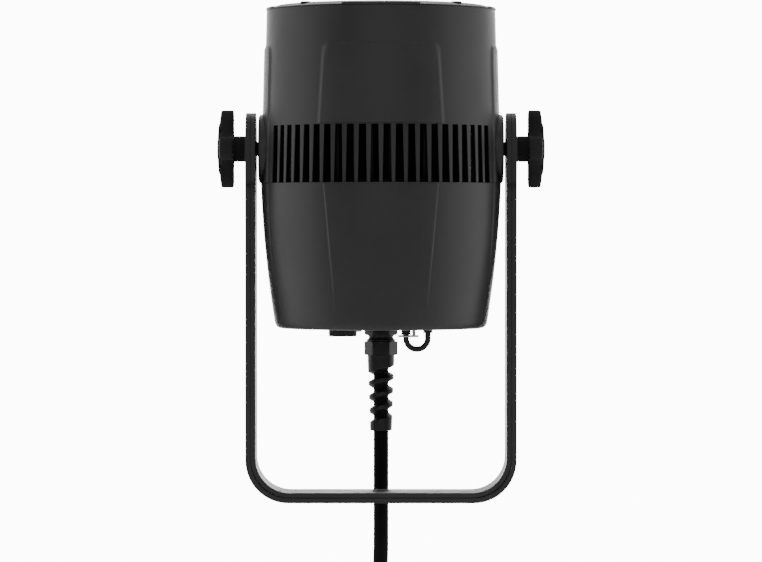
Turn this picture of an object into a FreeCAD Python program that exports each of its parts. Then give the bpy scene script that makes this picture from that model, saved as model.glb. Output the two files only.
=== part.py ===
"""Compact round stage spotlight on a double yoke bracket, with a hanging mains lead.

All sizes are in millimetres. +X runs along the tilt pivot, -Y is the front of the light and +Z is up.
The origin is the centre of the yoke's mounting hole, on the underside of the foot bar.
"""
import FreeCAD, Part
import math
import os

V = FreeCAD.Vector

# Head: a round housing centred on the Z axis
PIVOT_Z = 235.0
HEAD_TOP = PIVOT_Z + 92.0
SPLIT_Z = PIVOT_Z - 22.9
HEAD_BOTTOM = PIVOT_Z - 119.3
TOP_RADIUS = 76.2
WAIST_RADIUS = 79.0
LOWER_MID_RADIUS = 75.9
LOWER_MID_Z = PIVOT_Z - 74.0
LOWER_END_RADIUS = 71.0
LOWER_END_Z = PIVOT_Z - 114.5
BASE_EDGE_RADIUS = 67.0
WALL = 3.0
BASE_THICKNESS = 4.0

# Screws and their bores, with a hundredth or two of a millimetre of clearance
SCREW_ANGLES = (45, 135, 225, 315)
M4_RADIUS = 2.0
M4_BORE = 2.02
M4_HEAD_RADIUS = 3.5
M4_SOCKET = 3.0
M3_RADIUS = 1.6
M3_BORE = 1.62
M3_HEAD_RADIUS = 2.9
M3_HEAD_HEIGHT = 2.5
M3_SOCKET = 2.5
SINK_SCREW_CIRCLE = 66.0
SINK_SCREW_TURN = 20
BULKHEAD_SCREW_CIRCLE = 70.0

# Vents
VENT_TOP = PIVOT_Z + 14.7
VENT_PITCH_DEG = 6.0
VENTS_PER_SIDE = 22
SLOT_TOP_DEG = 3.4
SLOT_BOTTOM_DEG = 4.3

# Raised panels and pivot bosses
PAD_RISE = 1.0
PAD_TOP = PIVOT_Z + 68.7
PAD_VENT_MARGIN = 1.7
PAD_BOTTOM = PIVOT_Z - 101.0
CHEEK_HALF_ANGLE = 20.0
BOSS_RADIUS = 23.0
BOSS_FACE_X = 81.4

# Front ring and optics
BEZEL_FLAT_Z = PIVOT_Z + 94.8
BEZEL_TAB_Z = PIVOT_Z + 93.7
BEZEL_TAB_HALF_ANGLE = 19.6
BEZEL_SCREW_CIRCLE = 69.5
BEZEL_SPIGOT_RADIUS = 72.6
BEZEL_SPIGOT_BOTTOM = 316.0
BEZEL_LIP_RADIUS = 62.0
BEZEL_BORE_RADIUS = 66.2
BEZEL_SCREW_SEAT_Z = 327.3
BEZEL_SCREW_TOP_Z = 330.3
BEZEL_POST_RADIUS = 4.5
BEZEL_POST_BOTTOM = 290.0
GLASS_RADIUS = 66.0
GLASS_TOP = 325.0
GLASS_THICKNESS = 4.0
BARREL_RADIUS = 63.0
LENS_RADIUS = 60.0
LENS_SEAT_Z = 306.0
LENS_RIM = 2.5
LENS_CROWN = 9.0
BARREL_BORE = 60.5
BARREL_FLANGE_RADIUS = 65.9
BARREL_FLANGE_TOP = 319.5
LENS_APERTURE = 55.0
REFLECTOR_BOTTOM = 273.5
REFLECTOR_TOP = 304.0
REFLECTOR_WALL = 1.6
REFLECTOR_NECK = 14.0
REFLECTOR_MOUTH = 54.0

# Heat sink, LED and driver
SINK_BASE_Z = 262.0
SINK_BASE_THICKNESS = 8.0
SINK_BASE_RADIUS = 70.0
SINK_CORE_RADIUS = 18.0
FIN_RADIUS = 60.0
FIN_THICKNESS = 1.6
FIN_COUNT = 32
FIN_BOTTOM = 210.0
LED_BOARD_RADIUS = 30.0
LED_BOARD_THICKNESS = 1.6
LED_EMITTER_RADIUS = 12.0
LED_EMITTER_TOP = 273.4
WIRE_PLACES_Y = (-24.0, 24.0)
WIRE_RADIUS = 0.9
BULKHEAD_Z = 206.0
BULKHEAD_THICKNESS = 3.0
BULKHEAD_RADIUS = 75.4
PILLAR_CIRCLE = 52.0
BOARD_Z = 186.0
BOARD_THICKNESS = 1.6
BOARD_HALF_X = 46.0
BOARD_HALF_Y = 42.0
STANDOFF_X = 40.0
STANDOFF_Y = 28.0
TERMINAL_HEIGHT = 14.0

# Yoke: two nested bent plates
BAR_WIDTH = 40.0
PLATE = 3.05
PLATE_GAP = 0.5
YOKE_OUTER_X = 89.8
YOKE_CORNER = 30.0
ARM_END_RADIUS = 24.0
ARM_TAPER = 60.0
FOOT_HOLE_RADIUS = 6.5
LINER_RADIUS = 12.0

# Pivot hardware
STUD_RADIUS = 4.0
RUNNING_BORE = 4.08
INSERT_RADIUS = 8.0
SPACER_RADIUS = 4.7
KNOB_HUB_RADIUS = 8.55
KNOB_RADIUS = 25.75
KNOB_LOBE_RADIUS = 7.7
KNOB_VALLEY_RADIUS = 8.13
KNOB_VALLEY_DEPTH = 14.0
KNOB_BACK_X = 98.0
KNOB_RIM_X = 107.3
KNOB_DOME_X = 109.3
WASHER_THICKNESS = 1.5
INSERT_INNER_X = 62.0
STUD_INNER_X = 64.0
STUD_OUTER_X = 105.5
CAP_RADIUS = 6.5
CAP_INNER_X = 107.4

# Cable gland and lead
GLAND_Y = 28.0
HEX_FLATS = 19.6
GLAND_THREAD_RADIUS = 8.0
GLAND_NECK_RADIUS = 8.5
GLAND_BORE = 6.5
GLAND_FLANGE_Z = 110.2
GLAND_NECK_Z = 101.5
GLAND_STEM_TOP = 127.0
NUT_BOTTOM_Z = 96.6
NUT_TOP_Z = 106.1
SLEEVE_TOP_RADIUS = 9.0
SLEEVE_END_RADIUS = 7.6
CORD_RADIUS = 5.0
CORD_TOP_Z = 150.0
CORD_EXIT_Z = 45.8
COIL_RADIUS = 50.0
COIL_BUNDLE_RADIUS = 13.85
COIL_CENTRE = V(0.2, GLAND_Y, -145.6)
TIE_ANGLE = 135.0
TIE_SWEEP = 18.0
TIE_THICKNESS = 1.6

# The lead's route from the strain relief to the coil, and from the coil to the plug
CORD_ROUTE = [V(0, 28, 45.8), V(0, 28, -55), V(-6.8, 28, -73.8), V(-19.7, 28, -89.1), V(-37.0, 28, -99.1)]
CORD_END_ROUTE = [V(-46.5, 20, -117.8), V(-58.7, 18.6, -139.2), V(-65.0, 18, -160.4), V(-65.0, 18, -178.0)]

# The plug on the end of the lead
BOOT_LENGTH = 20.0
BOOT_TOP_RADIUS = 6.6
BOOT_END_RADIUS = 9.5
PLUG_GRIP_RADIUS = 15.0
PLUG_FACE_RADIUS = 18.0
PLUG_SHOULDER = 8.0
PLUG_GRIP_END = 36.0
PLUG_LENGTH = 42.0
PIN_RADIUS = 2.4
PIN_LENGTH = 19.0
PIN_SPREAD = 9.5

# Blanking plug, earth screw and safety eye under the head
CAP_PLACE = (-25.3, -20.0)
CAP_RIM_RADIUS = 9.35
CAP_BOTTOM_Z = 110.6
CAP_SEAL_Z = 114.9
CAP_STEM_RADIUS = 6.0
EARTH_PLACE = (-16.5, -8.5)
EARTH_HEAD_RADIUS = 3.6
EARTH_HEAD_HEIGHT = 2.4
STUD_END_Z = 123.0
EYE_STUD_RADIUS = 1.5
EYE_BORE = 1.52
LEFT_LEG = 2.4
RIGHT_LEG = 3.6
WASHER_UNDER_Z = 113.1
FLANGE_UNDER_Z = 111.9
EYE_X = 23.7
EYE_Y = -25.0
EYE_Z = 109.5
EYE_RADIUS = 7.2
EYE_ROD_RADIUS = 1.9


def cylinder(radius, start, end):
    run = end - start
    return Part.makeCylinder(radius, run.Length, start, run)


def tube(outer, inner, start, end):
    margin = (end - start).normalize()
    return cylinder(outer, start, end).cut(cylinder(inner, start - margin, end + margin))


def block(x0, x1, y0, y1, z0, z1):
    return Part.makeBox(x1 - x0, y1 - y0, z1 - z0, V(x0, y0, z0))


def polar(radius, degrees, z):
    angle = math.radians(degrees)
    return V(radius * math.cos(angle), radius * math.sin(angle), z)


def revolved(points, degrees=360.0):
    """A closed outline of (radius, z) points turned about the Z axis."""
    corners = [V(r, 0, z) for r, z in points]
    face = Part.Face(Part.makePolygon(corners + corners[:1]))
    return face.revolve(V(0, 0, 0), V(0, 0, 1), degrees)


def prism(points, along):
    face = Part.Face(Part.makePolygon(points + points[:1]))
    return face.extrude(along)


def hexagon(flats, x, y, z0, z1):
    corner = flats / math.sqrt(3.0)
    points = [V(x, y, z0) + polar(corner, 60.0 * step, 0) for step in range(6)]
    return prism(points, V(0, 0, z1 - z0))


def fused(shapes):
    return shapes[0].multiFuse(shapes[1:]).removeSplitter()


def cut_all(shape, tools):
    return shape.cut(Part.makeCompound(tools))


def upper_radius(z):
    share = (HEAD_TOP - z) / (HEAD_TOP - SPLIT_Z)
    return TOP_RADIUS + (WAIST_RADIUS - TOP_RADIUS) * share


def upper_skin(offset, z0, z1):
    """The upper housing's outer surface moved out by offset, as a solid plug."""
    return revolved([(0, z0), (upper_radius(z0) + offset, z0), (upper_radius(z1) + offset, z1), (0, z1)])


def lower_skin(offset, z0):
    """The lower housing's bulged outer surface moved out by offset, as a solid plug."""
    start = V(WAIST_RADIUS + offset, 0, SPLIT_Z)
    middle = V(LOWER_MID_RADIUS + offset, 0, LOWER_MID_Z)
    end = V(LOWER_END_RADIUS + offset, 0, LOWER_END_Z)
    side = Part.Arc(start, middle, end).toShape()
    edge = V(BASE_EDGE_RADIUS + offset, 0, z0)
    round_middle = V(LOWER_END_RADIUS + offset - 1.2, 0, z0 + 1.4)
    corner = Part.Arc(end, round_middle, edge).toShape()
    rest = Part.makePolygon([edge, V(0, 0, z0), V(0, 0, SPLIT_Z), start])
    face = Part.Face(Part.Wire([side, corner] + rest.Edges))
    return face.revolve(V(0, 0, 0), V(0, 0, 1), 360)


def pad_outline(half_width_0, half_width_1, z0, z1, turn):
    """A tapered panel outline, pushed outwards on two opposite sides of the head."""
    reach = WAIST_RADIUS + 10.0
    points = [V(-half_width_0, -reach, z0), V(half_width_0, -reach, z0)]
    points += [V(half_width_1, -reach, z1), V(-half_width_1, -reach, z1)]
    shape = prism(points, V(0, 2.0 * reach, 0))
    shape.rotate(V(0, 0, 0), V(0, 0, 1), turn)
    return shape


def half_width(half_angle):
    return WAIST_RADIUS * math.sin(math.radians(half_angle))


def drill(radius, circle, angle, z0, z1):
    """A hole parallel to the Z axis on a bolt circle."""
    return cylinder(radius, polar(circle, angle, z0), polar(circle, angle, z1))


def ledge_ring(inner, outer, z0, z1):
    """A square-section ring standing on the inside of the wall."""
    return revolved([(inner, z0), (outer, z0), (outer, z1), (inner, z1)])


def base_hole(radius, x, y):
    """A hole through the head's bottom wall."""
    return cylinder(radius, V(x, y, HEAD_BOTTOM - 5), V(x, y, HEAD_BOTTOM + BASE_THICKNESS + 5))


def vent_slots():
    slots = []
    first = -VENT_PITCH_DEG * (VENTS_PER_SIDE - 1) / 2.0
    reach = WAIST_RADIUS + 6.0
    top = reach * math.tan(math.radians(SLOT_TOP_DEG / 2.0))
    bottom = reach * math.tan(math.radians(SLOT_BOTTOM_DEG / 2.0))
    depth = V(0, 14.0, 0)
    for side in (0.0, 180.0):
        for step in range(VENTS_PER_SIDE):
            corners = [V(-bottom, -reach, SPLIT_Z - 1), V(bottom, -reach, SPLIT_Z - 1)]
            corners += [V(top, -reach, VENT_TOP), V(-top, -reach, VENT_TOP)]
            slot = prism(corners, depth)
            slot.rotate(V(0, 0, 0), V(0, 0, 1), side + first + step * VENT_PITCH_DEG)
            slots.append(slot)
    return slots


def upper_housing():
    shell = upper_skin(0, SPLIT_Z, HEAD_TOP).cut(upper_skin(-WALL, SPLIT_Z - 1, HEAD_TOP + 1))
    band = upper_skin(PAD_RISE, SPLIT_Z, PAD_TOP).cut(upper_skin(-WALL / 2, SPLIT_Z - 1, PAD_TOP + 1))
    front = pad_outline(half_width(32.2), half_width(29.9), VENT_TOP + PAD_VENT_MARGIN, PAD_TOP, 0)
    cheek_width = half_width(CHEEK_HALF_ANGLE)
    cheek = pad_outline(cheek_width, cheek_width, SPLIT_Z, PAD_TOP, 90)
    pads = [band.common(front), band.common(cheek)]
    inner_x = WAIST_RADIUS - WALL - 12.0
    bosses = cylinder(BOSS_RADIUS, V(-BOSS_FACE_X, 0, PIVOT_Z), V(BOSS_FACE_X, 0, PIVOT_Z))
    bosses = bosses.cut(block(-inner_x, inner_x, -40, 40, SPLIT_Z - 5, PIVOT_Z + 40))
    bosses = bosses.cut(block(-100, 100, -40, 40, SPLIT_Z - 10, SPLIT_Z))
    ledge = ledge_ring(62.0, 76.0, SINK_BASE_Z - 6.0, SINK_BASE_Z)
    posts = []
    for angle in SCREW_ANGLES:
        foot = polar(BEZEL_SCREW_CIRCLE, angle, BEZEL_POST_BOTTOM)
        posts.append(cylinder(BEZEL_POST_RADIUS, foot, polar(BEZEL_SCREW_CIRCLE, angle, BEZEL_SPIGOT_BOTTOM)))
    body = fused([shell, bosses, ledge] + pads + posts)
    holes = vent_slots()
    holes.append(cylinder(INSERT_RADIUS + 0.02, V(-100, 0, PIVOT_Z), V(100, 0, PIVOT_Z)))
    for angle in SCREW_ANGLES:
        holes.append(drill(M4_BORE, BEZEL_SCREW_CIRCLE, angle, 296, 320))
        holes.append(drill(M3_BORE, SINK_SCREW_CIRCLE, angle + SINK_SCREW_TURN, 250, 263))
    return cut_all(body, holes)


def lower_housing():
    shell = lower_skin(0, HEAD_BOTTOM).cut(lower_skin(-WALL, HEAD_BOTTOM + BASE_THICKNESS))
    raised = lower_skin(PAD_RISE, HEAD_BOTTOM).cut(lower_skin(-WALL / 2, HEAD_BOTTOM - 1))
    front_bottom = half_width(23.0)
    front = pad_outline(front_bottom, half_width(28.5), PAD_BOTTOM, SPLIT_Z - 1.0, 0)
    cheek = pad_outline(half_width(CHEEK_HALF_ANGLE - 3), half_width(CHEEK_HALF_ANGLE), PAD_BOTTOM, SPLIT_Z, 90)
    ledge = ledge_ring(66.0, 76.5, BULKHEAD_Z - 4.0, BULKHEAD_Z)
    body = fused([shell, raised.common(front), raised.common(cheek), ledge])
    holes = [base_hole(GLAND_THREAD_RADIUS + 0.02, 0, GLAND_Y)]
    holes.append(base_hole(CAP_STEM_RADIUS + 0.02, *CAP_PLACE))
    holes.append(base_hole(M4_BORE, *EARTH_PLACE))
    for side in (-1, 1):
        holes.append(base_hole(EYE_BORE, EYE_X + side * EYE_RADIUS, EYE_Y))
    for angle in SCREW_ANGLES:
        holes.append(drill(M3_BORE, BULKHEAD_SCREW_CIRCLE, angle, 200, 207))
    return cut_all(body, holes)


def front_bezel():
    top = BEZEL_FLAT_Z
    outline = [(BEZEL_LIP_RADIUS, GLASS_TOP), (BEZEL_LIP_RADIUS, top - 2.8), (65.5, top), (70.0, top)]
    outline += [(TOP_RADIUS, HEAD_TOP + 0.6), (TOP_RADIUS, HEAD_TOP), (BEZEL_SPIGOT_RADIUS, HEAD_TOP)]
    outline += [(BEZEL_SPIGOT_RADIUS, BEZEL_SPIGOT_BOTTOM), (BEZEL_BORE_RADIUS, BEZEL_SPIGOT_BOTTOM)]
    outline += [(BEZEL_BORE_RADIUS, GLASS_TOP)]
    ring = revolved(outline)
    tabs = []
    for quarter in range(4):
        section = [(71.0, HEAD_TOP), (76.6, HEAD_TOP), (76.4, BEZEL_TAB_Z), (71.0, BEZEL_TAB_Z)]
        tab = revolved(section, 2 * BEZEL_TAB_HALF_ANGLE)
        tab.rotate(V(0, 0, 0), V(0, 0, 1), 90 * quarter - BEZEL_TAB_HALF_ANGLE)
        tabs.append(tab)
    body = fused([ring] + tabs)
    holes = []
    for angle in SCREW_ANGLES:
        holes.append(drill(M4_RADIUS + 0.2, BEZEL_SCREW_CIRCLE, angle, 310, 332))
        holes.append(drill(M4_HEAD_RADIUS + 0.3, BEZEL_SCREW_CIRCLE, angle, BEZEL_SCREW_SEAT_Z, 332))
    return cut_all(body, holes)


def socket_screw(place, head_bottom, head_top, head_radius, tip, radius, across):
    """A socket-head screw whose head stands at head_bottom to head_top and whose shank ends at tip."""
    x, y = place
    head = cylinder(head_radius, V(x, y, head_bottom), V(x, y, head_top))
    shank = cylinder(radius, V(x, y, head_bottom), V(x, y, tip))
    inward = 0.6 * (head_bottom - head_top)
    socket = hexagon(across, x, y, min(head_top, head_top + inward), max(head_top, head_top + inward))
    return head.fuse(shank).removeSplitter().cut(socket)


def screw_group(circle, angles, head_bottom, head_top, head_radius, tip, radius, across):
    screws = []
    for angle in angles:
        spot = polar(circle, angle, 0)
        screws.append(socket_screw((spot.x, spot.y), head_bottom, head_top, head_radius, tip, radius, across))
    return Part.makeCompound(screws)


def lens():
    """A plano-convex lens: a ball cut to a disc, flat below and domed above."""
    top = LENS_SEAT_Z + LENS_RIM + LENS_CROWN
    ball_radius = (LENS_RADIUS ** 2 + LENS_CROWN ** 2) / (2.0 * LENS_CROWN)
    ball = Part.makeSphere(ball_radius, V(0, 0, top - ball_radius))
    return ball.common(cylinder(LENS_RADIUS, V(0, 0, LENS_SEAT_Z), V(0, 0, top + 1)))


def lens_barrel():
    inner = LENS_RADIUS + 0.1
    seat = LENS_SEAT_Z - 2.0
    flange = BARREL_FLANGE_TOP - 2.0
    foot = SINK_BASE_Z + SINK_BASE_THICKNESS
    outline = [(LENS_APERTURE, seat), (LENS_APERTURE, LENS_SEAT_Z), (inner, LENS_SEAT_Z)]
    outline += [(inner, BARREL_FLANGE_TOP), (BARREL_FLANGE_RADIUS, BARREL_FLANGE_TOP)]
    outline += [(BARREL_FLANGE_RADIUS, flange), (BARREL_RADIUS, flange), (BARREL_RADIUS, foot)]
    outline += [(BARREL_BORE, foot), (BARREL_BORE, seat)]
    return revolved(outline)


def reflector():
    outline = [(REFLECTOR_NECK, REFLECTOR_BOTTOM), (REFLECTOR_NECK + 1.2, REFLECTOR_BOTTOM)]
    outline += [(REFLECTOR_MOUTH, REFLECTOR_TOP - 1.5), (REFLECTOR_MOUTH, REFLECTOR_TOP)]
    outline += [(REFLECTOR_MOUTH - REFLECTOR_WALL, REFLECTOR_TOP)]
    return revolved(outline)


def heat_sink():
    base_top = SINK_BASE_Z + SINK_BASE_THICKNESS
    base = cylinder(SINK_BASE_RADIUS, V(0, 0, SINK_BASE_Z), V(0, 0, base_top))
    core = cylinder(SINK_CORE_RADIUS, V(0, 0, FIN_BOTTOM), V(0, 0, SINK_BASE_Z))
    fins = []
    for step in range(FIN_COUNT):
        fin = block(SINK_CORE_RADIUS - 2, FIN_RADIUS, -FIN_THICKNESS / 2, FIN_THICKNESS / 2, FIN_BOTTOM, SINK_BASE_Z)
        fin.rotate(V(0, 0, 0), V(0, 0, 1), (step + 0.5) * 360.0 / FIN_COUNT)
        fins.append(fin)
    body = fused([base, core] + fins)
    holes = []
    for y in WIRE_PLACES_Y:
        holes.append(cylinder(WIRE_RADIUS + 0.5, V(0, y, SINK_BASE_Z - 2), V(0, y, base_top + 2)))
    for angle in SCREW_ANGLES:
        holes.append(drill(M4_BORE, PILLAR_CIRCLE, angle, SINK_BASE_Z - 1, base_top + 1))
        turned = angle + SINK_SCREW_TURN
        holes.append(drill(M3_RADIUS + 0.12, SINK_SCREW_CIRCLE, turned, SINK_BASE_Z - 1, base_top + 1))
    return cut_all(body, holes)


def led_board():
    z = SINK_BASE_Z + SINK_BASE_THICKNESS
    board = cylinder(LED_BOARD_RADIUS, V(0, 0, z), V(0, 0, z + LED_BOARD_THICKNESS))
    holes = [cylinder(WIRE_RADIUS + 0.5, V(0, y, z - 1), V(0, y, z + 3)) for y in WIRE_PLACES_Y]
    return cut_all(board, holes)


def led_wires():
    wires = []
    for y in WIRE_PLACES_Y:
        wires.append(cylinder(WIRE_RADIUS, V(0, y, BOARD_Z + BOARD_THICKNESS), V(0, y, SINK_BASE_Z + 10.5)))
    return Part.makeCompound(wires)


def bulkhead():
    z = BULKHEAD_Z
    plate = cylinder(BULKHEAD_RADIUS, V(0, 0, z), V(0, 0, z + BULKHEAD_THICKNESS))
    holes = [cylinder(WIRE_RADIUS + 0.7, V(0, y, z - 1), V(0, y, z + 5)) for y in WIRE_PLACES_Y]
    for angle in SCREW_ANGLES:
        for circle, radius in ((PILLAR_CIRCLE, M4_RADIUS), (BULKHEAD_SCREW_CIRCLE, M3_RADIUS)):
            holes.append(drill(radius + 0.1, circle, angle, z - 1, z + 5))
    for x, y in board_corners():
        holes.append(cylinder(M3_BORE, V(x, y, z - 1), V(x, y, z + 5)))
    return cut_all(plate, holes)


def board_corners():
    return [(sx * STANDOFF_X, sy * STANDOFF_Y) for sx in (-1, 1) for sy in (-1, 1)]


def pillars():
    posts = []
    for angle in SCREW_ANGLES:
        spot = polar(PILLAR_CIRCLE, angle, 0)
        low = spot + V(0, 0, BULKHEAD_Z + BULKHEAD_THICKNESS)
        posts.append(tube(3.0, M4_BORE, low, spot + V(0, 0, SINK_BASE_Z)))
    return Part.makeCompound(posts)


def driver_board():
    top = BOARD_Z + BOARD_THICKNESS
    plate = block(-BOARD_HALF_X, BOARD_HALF_X, -BOARD_HALF_Y, BOARD_HALF_Y, BOARD_Z, top)
    holes = [cylinder(M3_BORE, V(x, y, BOARD_Z - 1), V(x, y, top + 1)) for x, y in board_corners()]
    holes += [cylinder(WIRE_RADIUS + 0.3, V(0, y, BOARD_Z - 1), V(0, y, top + 1)) for y in WIRE_PLACES_Y]
    return cut_all(plate, holes)


def board_standoffs():
    posts = []
    for x, y in board_corners():
        posts.append(tube(3.0, M3_BORE, V(x, y, BOARD_Z + BOARD_THICKNESS), V(x, y, BULKHEAD_Z)))
    return Part.makeCompound(posts)


def driver_parts():
    """Transformer, choke, heat-spreader bar and capacitors under the driver board."""
    z = BOARD_Z
    parts = [block(-30, -2, -30, -4, z - 22, z), block(8, 26, -32, -12, z - 16, z), block(-42, -36, -4, 30, z - 12, z)]
    for x, y, radius, height in ((30, 4, 7.0, 26.0), (14, 4, 5.0, 20.0), (-22, 12, 6.0, 18.0), (-22, 28, 4.0, 12.0)):
        parts.append(cylinder(radius, V(x, y, z - height), V(x, y, z)))
    return Part.makeCompound(parts)


def mains_wires():
    wires = []
    for step in (-1, 0, 1):
        x = 3.0 * step
        wires.append(cylinder(1.2, V(x, GLAND_Y, CORD_TOP_Z), V(x, GLAND_Y, BOARD_Z - TERMINAL_HEIGHT)))
    return Part.makeCompound(wires)


def gland_body():
    flange = hexagon(HEX_FLATS, 0, GLAND_Y, GLAND_FLANGE_Z, HEAD_BOTTOM)
    neck = cylinder(GLAND_NECK_RADIUS, V(0, GLAND_Y, GLAND_NECK_Z), V(0, GLAND_Y, GLAND_FLANGE_Z))
    stem = cylinder(GLAND_THREAD_RADIUS, V(0, GLAND_Y, HEAD_BOTTOM), V(0, GLAND_Y, GLAND_STEM_TOP))
    body = fused([flange, neck, stem])
    return body.cut(cylinder(GLAND_BORE, V(0, GLAND_Y, 95), V(0, GLAND_Y, 130)))


def gland_nut():
    """The compression nut, made in one piece with its tapered strain relief sleeve."""
    nut = hexagon(HEX_FLATS, 0, GLAND_Y, NUT_BOTTOM_Z, NUT_TOP_Z)
    collar = Part.makeCone(9.8, 8.9, 2.2, V(0, GLAND_Y, NUT_TOP_Z))
    foot = V(0, GLAND_Y, CORD_EXIT_Z)
    sleeve = Part.makeCone(SLEEVE_END_RADIUS, SLEEVE_TOP_RADIUS, NUT_BOTTOM_Z - CORD_EXIT_Z, foot)
    body = fused([nut, collar, sleeve])
    bore = cylinder(CORD_RADIUS + 0.1, V(0, GLAND_Y, 40), V(0, GLAND_Y, 110))
    thread = cylinder(GLAND_NECK_RADIUS + 0.05, V(0, GLAND_Y, GLAND_NECK_Z - 0.3), V(0, GLAND_Y, 110))
    return cut_all(body, [bore, thread])


def gland_locknut():
    z = HEAD_BOTTOM + BASE_THICKNESS
    bore = cylinder(GLAND_THREAD_RADIUS + 0.02, V(0, GLAND_Y, z - 1), V(0, GLAND_Y, z + 5))
    return hexagon(HEX_FLATS, 0, GLAND_Y, z, z + 4).cut(bore)


def blanking_plug():
    x, y = CAP_PLACE
    chamfer = 0.8
    head = Part.makeCone(CAP_RIM_RADIUS - 0.45, CAP_RIM_RADIUS, chamfer, V(x, y, CAP_BOTTOM_Z))
    rim = cylinder(CAP_RIM_RADIUS, V(x, y, CAP_BOTTOM_Z + chamfer), V(x, y, CAP_SEAL_Z))
    stem = cylinder(CAP_STEM_RADIUS, V(x, y, CAP_SEAL_Z), V(x, y, STUD_END_Z + 1))
    body = fused([head, rim, stem])
    slot = block(x - 6, x + 6, y - 0.9, y + 0.9, CAP_BOTTOM_Z - 1, CAP_BOTTOM_Z + 1.2)
    return body.cut(slot)


def plug_seal():
    x, y = CAP_PLACE
    return tube(8.4, CAP_STEM_RADIUS + 0.02, V(x, y, CAP_SEAL_Z), V(x, y, HEAD_BOTTOM))


def safety_eye():
    """A bent rod: two legs and a half round below them, with thinner threaded ends."""
    left = V(EYE_X - EYE_RADIUS, EYE_Y, EYE_Z)
    right = V(EYE_X + EYE_RADIUS, EYE_Y, EYE_Z)
    low = V(EYE_X, EYE_Y, EYE_Z - EYE_RADIUS)
    left_top = left + V(0, 0, LEFT_LEG)
    right_top = right + V(0, 0, RIGHT_LEG)
    path = Part.Wire([Part.makeLine(left_top, left), Part.Arc(left, low, right).toShape()])
    path = Part.Wire(path.Edges + [Part.makeLine(right, right_top)])
    profile = Part.Wire([Part.makeCircle(EYE_ROD_RADIUS, left_top, V(0, 0, 1))])
    rod = path.makePipeShell([profile], True, True)
    studs = []
    for leg in (left_top, right_top):
        studs.append(cylinder(EYE_STUD_RADIUS, leg - V(0, 0, 0.5), V(leg.x, leg.y, STUD_END_Z)))
    return fused([rod] + studs)


def eye_nuts():
    """A flanged nut over the left leg and a plain washer over the right one."""
    left = V(EYE_X - EYE_RADIUS, EYE_Y, 0)
    right = V(EYE_X + EYE_RADIUS, EYE_Y, 0)
    nut_under = FLANGE_UNDER_Z + 0.9
    flange = cylinder(3.4, left + V(0, 0, FLANGE_UNDER_Z), left + V(0, 0, nut_under))
    nut = hexagon(5.0, left.x, left.y, nut_under, HEAD_BOTTOM)
    bore = cylinder(EYE_BORE, left + V(0, 0, 110), left + V(0, 0, 118))
    washer = tube(3.2, EYE_BORE, right + V(0, 0, WASHER_UNDER_Z), right + V(0, 0, HEAD_BOTTOM))
    return Part.makeCompound([flange.fuse(nut).cut(bore), washer])


def locking_pin():
    """A thin straight wire in front of the eye's left leg, held in a small stand-off."""
    y = EYE_Y - EYE_ROD_RADIUS - 0.8
    wire = cylinder(0.75, V(11.2, y, 111.0), V(24.9, y, 111.0))
    hanger = block(20.6, 22.8, y - 0.6, EYE_Y + 1.5, 110.6, HEAD_BOTTOM)
    return wire.fuse(hanger).removeSplitter()


def plate_outline(z_low):
    """The yoke seen from the side: a straight bar that widens into a round arm end."""
    half = BAR_WIDTH / 2.0
    points = [V(-200, -half, z_low), V(-200, half, z_low), V(-200, half, PIVOT_Z - ARM_TAPER)]
    points += [V(-200, ARM_END_RADIUS, PIVOT_Z), V(-200, -ARM_END_RADIUS, PIVOT_Z)]
    points += [V(-200, -half, PIVOT_Z - ARM_TAPER)]
    bar = prism(points, V(400, 0, 0))
    return bar.fuse(cylinder(ARM_END_RADIUS, V(-200, 0, PIVOT_Z), V(200, 0, PIVOT_Z)))


def rounded_u(half_x, z_low, corner):
    """A solid block with two rounded lower corners, open upwards past the arms."""
    top = PIVOT_Z + 60.0
    diagonal = corner * (1.0 - math.sqrt(0.5))
    left = V(-half_x, -100, 0)
    right = V(half_x, -100, 0)
    edges = [Part.makeLine(left + V(0, 0, top), left + V(0, 0, z_low + corner))]
    edges.append(Part.Arc(left + V(0, 0, z_low + corner), left + V(diagonal, 0, z_low + diagonal),
                          left + V(corner, 0, z_low)).toShape())
    edges.append(Part.makeLine(left + V(corner, 0, z_low), right + V(-corner, 0, z_low)))
    edges.append(Part.Arc(right + V(-corner, 0, z_low), right + V(-diagonal, 0, z_low + diagonal),
                          right + V(0, 0, z_low + corner)).toShape())
    edges.append(Part.makeLine(right + V(0, 0, z_low + corner), right + V(0, 0, top)))
    edges.append(Part.makeLine(right + V(0, 0, top), left + V(0, 0, top)))
    return Part.Face(Part.Wire(edges)).extrude(V(0, 200, 0))


def bracket(inset):
    """One bent plate of the yoke, set in from the outermost surface by inset."""
    half_x = YOKE_OUTER_X - inset
    outer = rounded_u(half_x, inset, YOKE_CORNER - inset)
    inner = rounded_u(half_x - PLATE, inset + PLATE, YOKE_CORNER - inset - PLATE)
    plate = outer.cut(inner).common(plate_outline(-1.0))
    holes = [cylinder(RUNNING_BORE, V(-120, 0, PIVOT_Z), V(120, 0, PIVOT_Z))]
    holes.append(cylinder(FOOT_HOLE_RADIUS, V(0, 0, -5), V(0, 0, 15)))
    return cut_all(plate, holes)


def along_x(side, x0, x1, radius, bore):
    """A round piece on the pivot axis, on the side -1 (left) or 1 (right)."""
    start = V(side * x0, 0, PIVOT_Z)
    end = V(side * x1, 0, PIVOT_Z)
    if bore:
        return tube(radius, bore, start, end)
    return cylinder(radius, start, end)


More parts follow.
